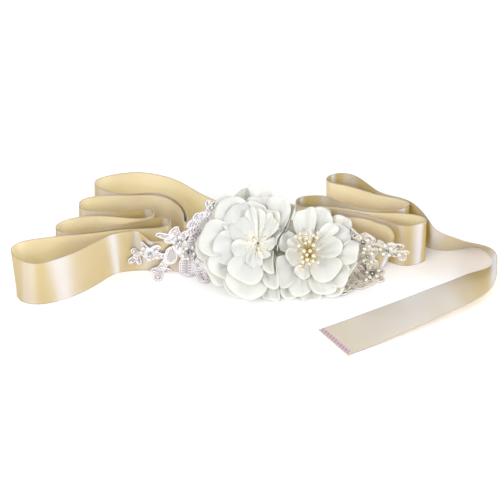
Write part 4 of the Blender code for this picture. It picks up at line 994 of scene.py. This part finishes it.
def make_studio():
    """A pale table, a white room, the soft boxes of the table above, and the camera."""
    bpy.ops.object.select_all(action="DESELECT")
    bpy.ops.mesh.primitive_plane_add(size=8.0, location=(0, 0, 0))
    table = bpy.context.object
    table.name = "pale_table"
    paper, tree, shader = finish("white_card_table", {
        "Roughness": 0.9, "Specular IOR Level": 0.2,
        "Emission Color": (1, 1, 1, 1), "Emission Strength": 0.1})
    grain = noise(tree, add(tree, "ShaderNodeTexCoord").outputs["Object"], 900.0)
    tree.links.new(mix(tree, grain, "fafafa", "fdfdfd"), shader.inputs["Base Color"])
    table.data.materials.append(paper)
    for name, azimuth, elevation, width, height, brightness, colour in SOFT_BOXES:
        light = bpy.data.lights.new(name, "AREA")
        light.shape = "RECTANGLE"
        light.size, light.size_y = width, height
        light.energy = brightness * math.pi * width * height
        light.color = linear(colour)[:3]
        lamp = bpy.data.objects.new(name, light)
        bpy.context.collection.objects.link(lamp)
        turn, lift = math.radians(azimuth), math.radians(elevation)
        spot = Vector((math.sin(turn) * math.cos(lift), -math.cos(turn) * math.cos(lift), math.sin(lift)))
        lamp.location = spot * BOX_DISTANCE
        lamp.rotation_mode = "QUATERNION"
        lamp.rotation_quaternion = (-spot).to_track_quat("-Z", "Y")
    world = bpy.data.worlds.new("soft_white_room")
    bpy.context.scene.world = world
    world.use_nodes = True
    backdrop = world.node_tree.nodes["Background"]
    backdrop.inputs["Color"].default_value = linear("f6f8fa")
    backdrop.inputs["Strength"].default_value = ROOM_LIGHT
    data = bpy.data.cameras.new("camera")
    data.sensor_width, data.lens = 36.0, CAMERA_LENS
    data.clip_end = 3 * CAMERA_DISTANCE
    camera = bpy.data.objects.new("camera", data)
    bpy.context.collection.objects.link(camera)
    lift = math.radians(CAMERA_ELEVATION)
    aim = Vector(CAMERA_AIM) * MM
    camera.location = aim + CAMERA_DISTANCE * Vector((0, -math.cos(lift), math.sin(lift)))
    camera.rotation_mode = "QUATERNION"
    camera.rotation_quaternion = (aim - camera.location).to_track_quat("-Z", "Y")
    scene = bpy.context.scene
    scene.camera = camera
    scene.view_settings.view_transform = "Standard"
    scene.view_settings.look = "None"


def main():
    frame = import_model()
    make_studio()

    face = satin("woven_polyester_satin_face", "e8bf56", "f3cd67", {
        "Roughness": 0.565, "IOR": 2.95, "Subsurface Weight": 0.25, "Anisotropic": 1.0,
        "Specular Tint": linear(COOL_SHINE)})
    reverse = satin("woven_polyester_satin_reverse", "e5cf9f", "f0dbaf", {
        "Roughness": 0.6, "IOR": 2.05, "Subsurface Weight": 0.45, "Anisotropic": 0.8,
        "Specular Tint": linear(WARM_SHINE)})
    ivory = petal_cloth("pressed_ivory_polyester", 0)
    # the first petals of each back layer carry painted shade
    ivory_with_painted_shade = petal_cloth("pressed_ivory_polyester_with_painted_shade", 3)
    white_cord = thread("white_rayon_cord", "e9e2e3", "fdfafa", {"Roughness": 0.4, "Sheen Weight": 0.2})
    silver_cord = thread("silver_lurex_cord", "e3dbc8", "f8f2e3", {"Roughness": 0.4, "Metallic": 0.1})
    lilac = thread("lilac_polyester_thread", "9a63ad", "c79ad6", {"Roughness": 0.5, "Sheen Weight": 0.2})
    pink = thread("pink_polyester_thread", "d79cc4", "f2cfe6", {"Roughness": 0.5, "Sheen Weight": 0.2})
    # painted shade: the net ground is darkened to a mauve-grey to stand for the shade in the gaps between the
    # cords
    net = spotted("cotton_net_ground_with_painted_shade", "9c9294", "d3cbcb", 0.0011, {"Roughness": 0.7})
    pearl = spotted("lacquered_glass_pearl", "dcd6ca", "eeeae0", 0.002, {
        "Roughness": 0.25, "Metallic": 0.45, "Coat Weight": 0.6, "Coat Roughness": 0.08})
    # pressed milk glass, faintly rosy, polished on top
    milk_glass = spotted("rosy_milk_glass", "b5aea8", "c2bbb5", 0.002, {
        "Roughness": 0.3, "Coat Weight": 0.4, "Coat Roughness": 0.12})
    stamen_pearl = spotted("cream_pearl_bead", "dccfae", "efe8d4", 0.0015, {
        "Roughness": 0.25, "Metallic": 0.3, "Coat Weight": 0.5, "Coat Roughness": 0.1})
    stalk = spotted("waxed_yellow_thread", "a98a3a", "d9c37c", 0.002, {"Roughness": 0.6})
    heart = spotted("gummed_thread_heart", "8f6d2c", "cdb878", 0.0012, {"Roughness": 0.75})
    crystal = cut_glass()
    claw = spotted("rhodium_plated_claw", "8f8f94", "c4c4c8", 0.001, {"Metallic": 1.0, "Roughness": 0.3})

    path = RibbonPath(RIBBON)
    ribbon = make_ribbon(path, [face, reverse])
    stretches = [node for node in frame["nodes"]
                 if "loop" in node or node in ("waist_band", "tail_rise", "tail")]
    place_piece(ribbon, "satin_ribbon", *stretches)

    for layers, centre, side in (
            (FLOWER_1_LAYERS, FLOWER_1_CENTRE, 1), (FLOWER_2_LAYERS, FLOWER_2_CENTRE, -1)):
        for piece, node, width, area in make_flower(layers, centre, side, [ivory_with_painted_shade] + [ivory] * 3):
            place_piece(piece, "petal_fabric", node)
    beads, stalks, dome = make_stamens(FLOWER_2_CENTRE, stamen_pearl, stalk, heart)
    place_piece(beads, "stamen_beads", "flower_2_stamens")
    place_piece(stalks, "stamen_beads")
    place_piece(dome, "stamen_beads")

    ground = LaceGround(path)
    for node, work in LACE_PIECES.items():
        cloth, size, area = make_lace_cloth(node + "_net", ground, work["lobes"], net)
        place_piece(cloth, "corded_lace", node)
        trims = [
            make_lace_cords(node + "_cords", ground, work["lobes"], [white_cord, silver_cord]),
            make_beads(node + "_pearls", ground, work["pearls"], pearl, PEARL),
            make_beads(node + "_seed_pearls", ground, work["seeds"], pearl, SEED_PEARL),
            make_stones(node + "_stones", ground, work["stones"], crystal, claw),
            make_ovals(node + "_cabochons", ground, work["ovals"], milk_glass)]
        for piece in trims:
            place_piece(piece, "corded_lace")

    stitches = make_stitches(path, [lilac, pink])
    place_piece(stitches, "satin_ribbon")


main()
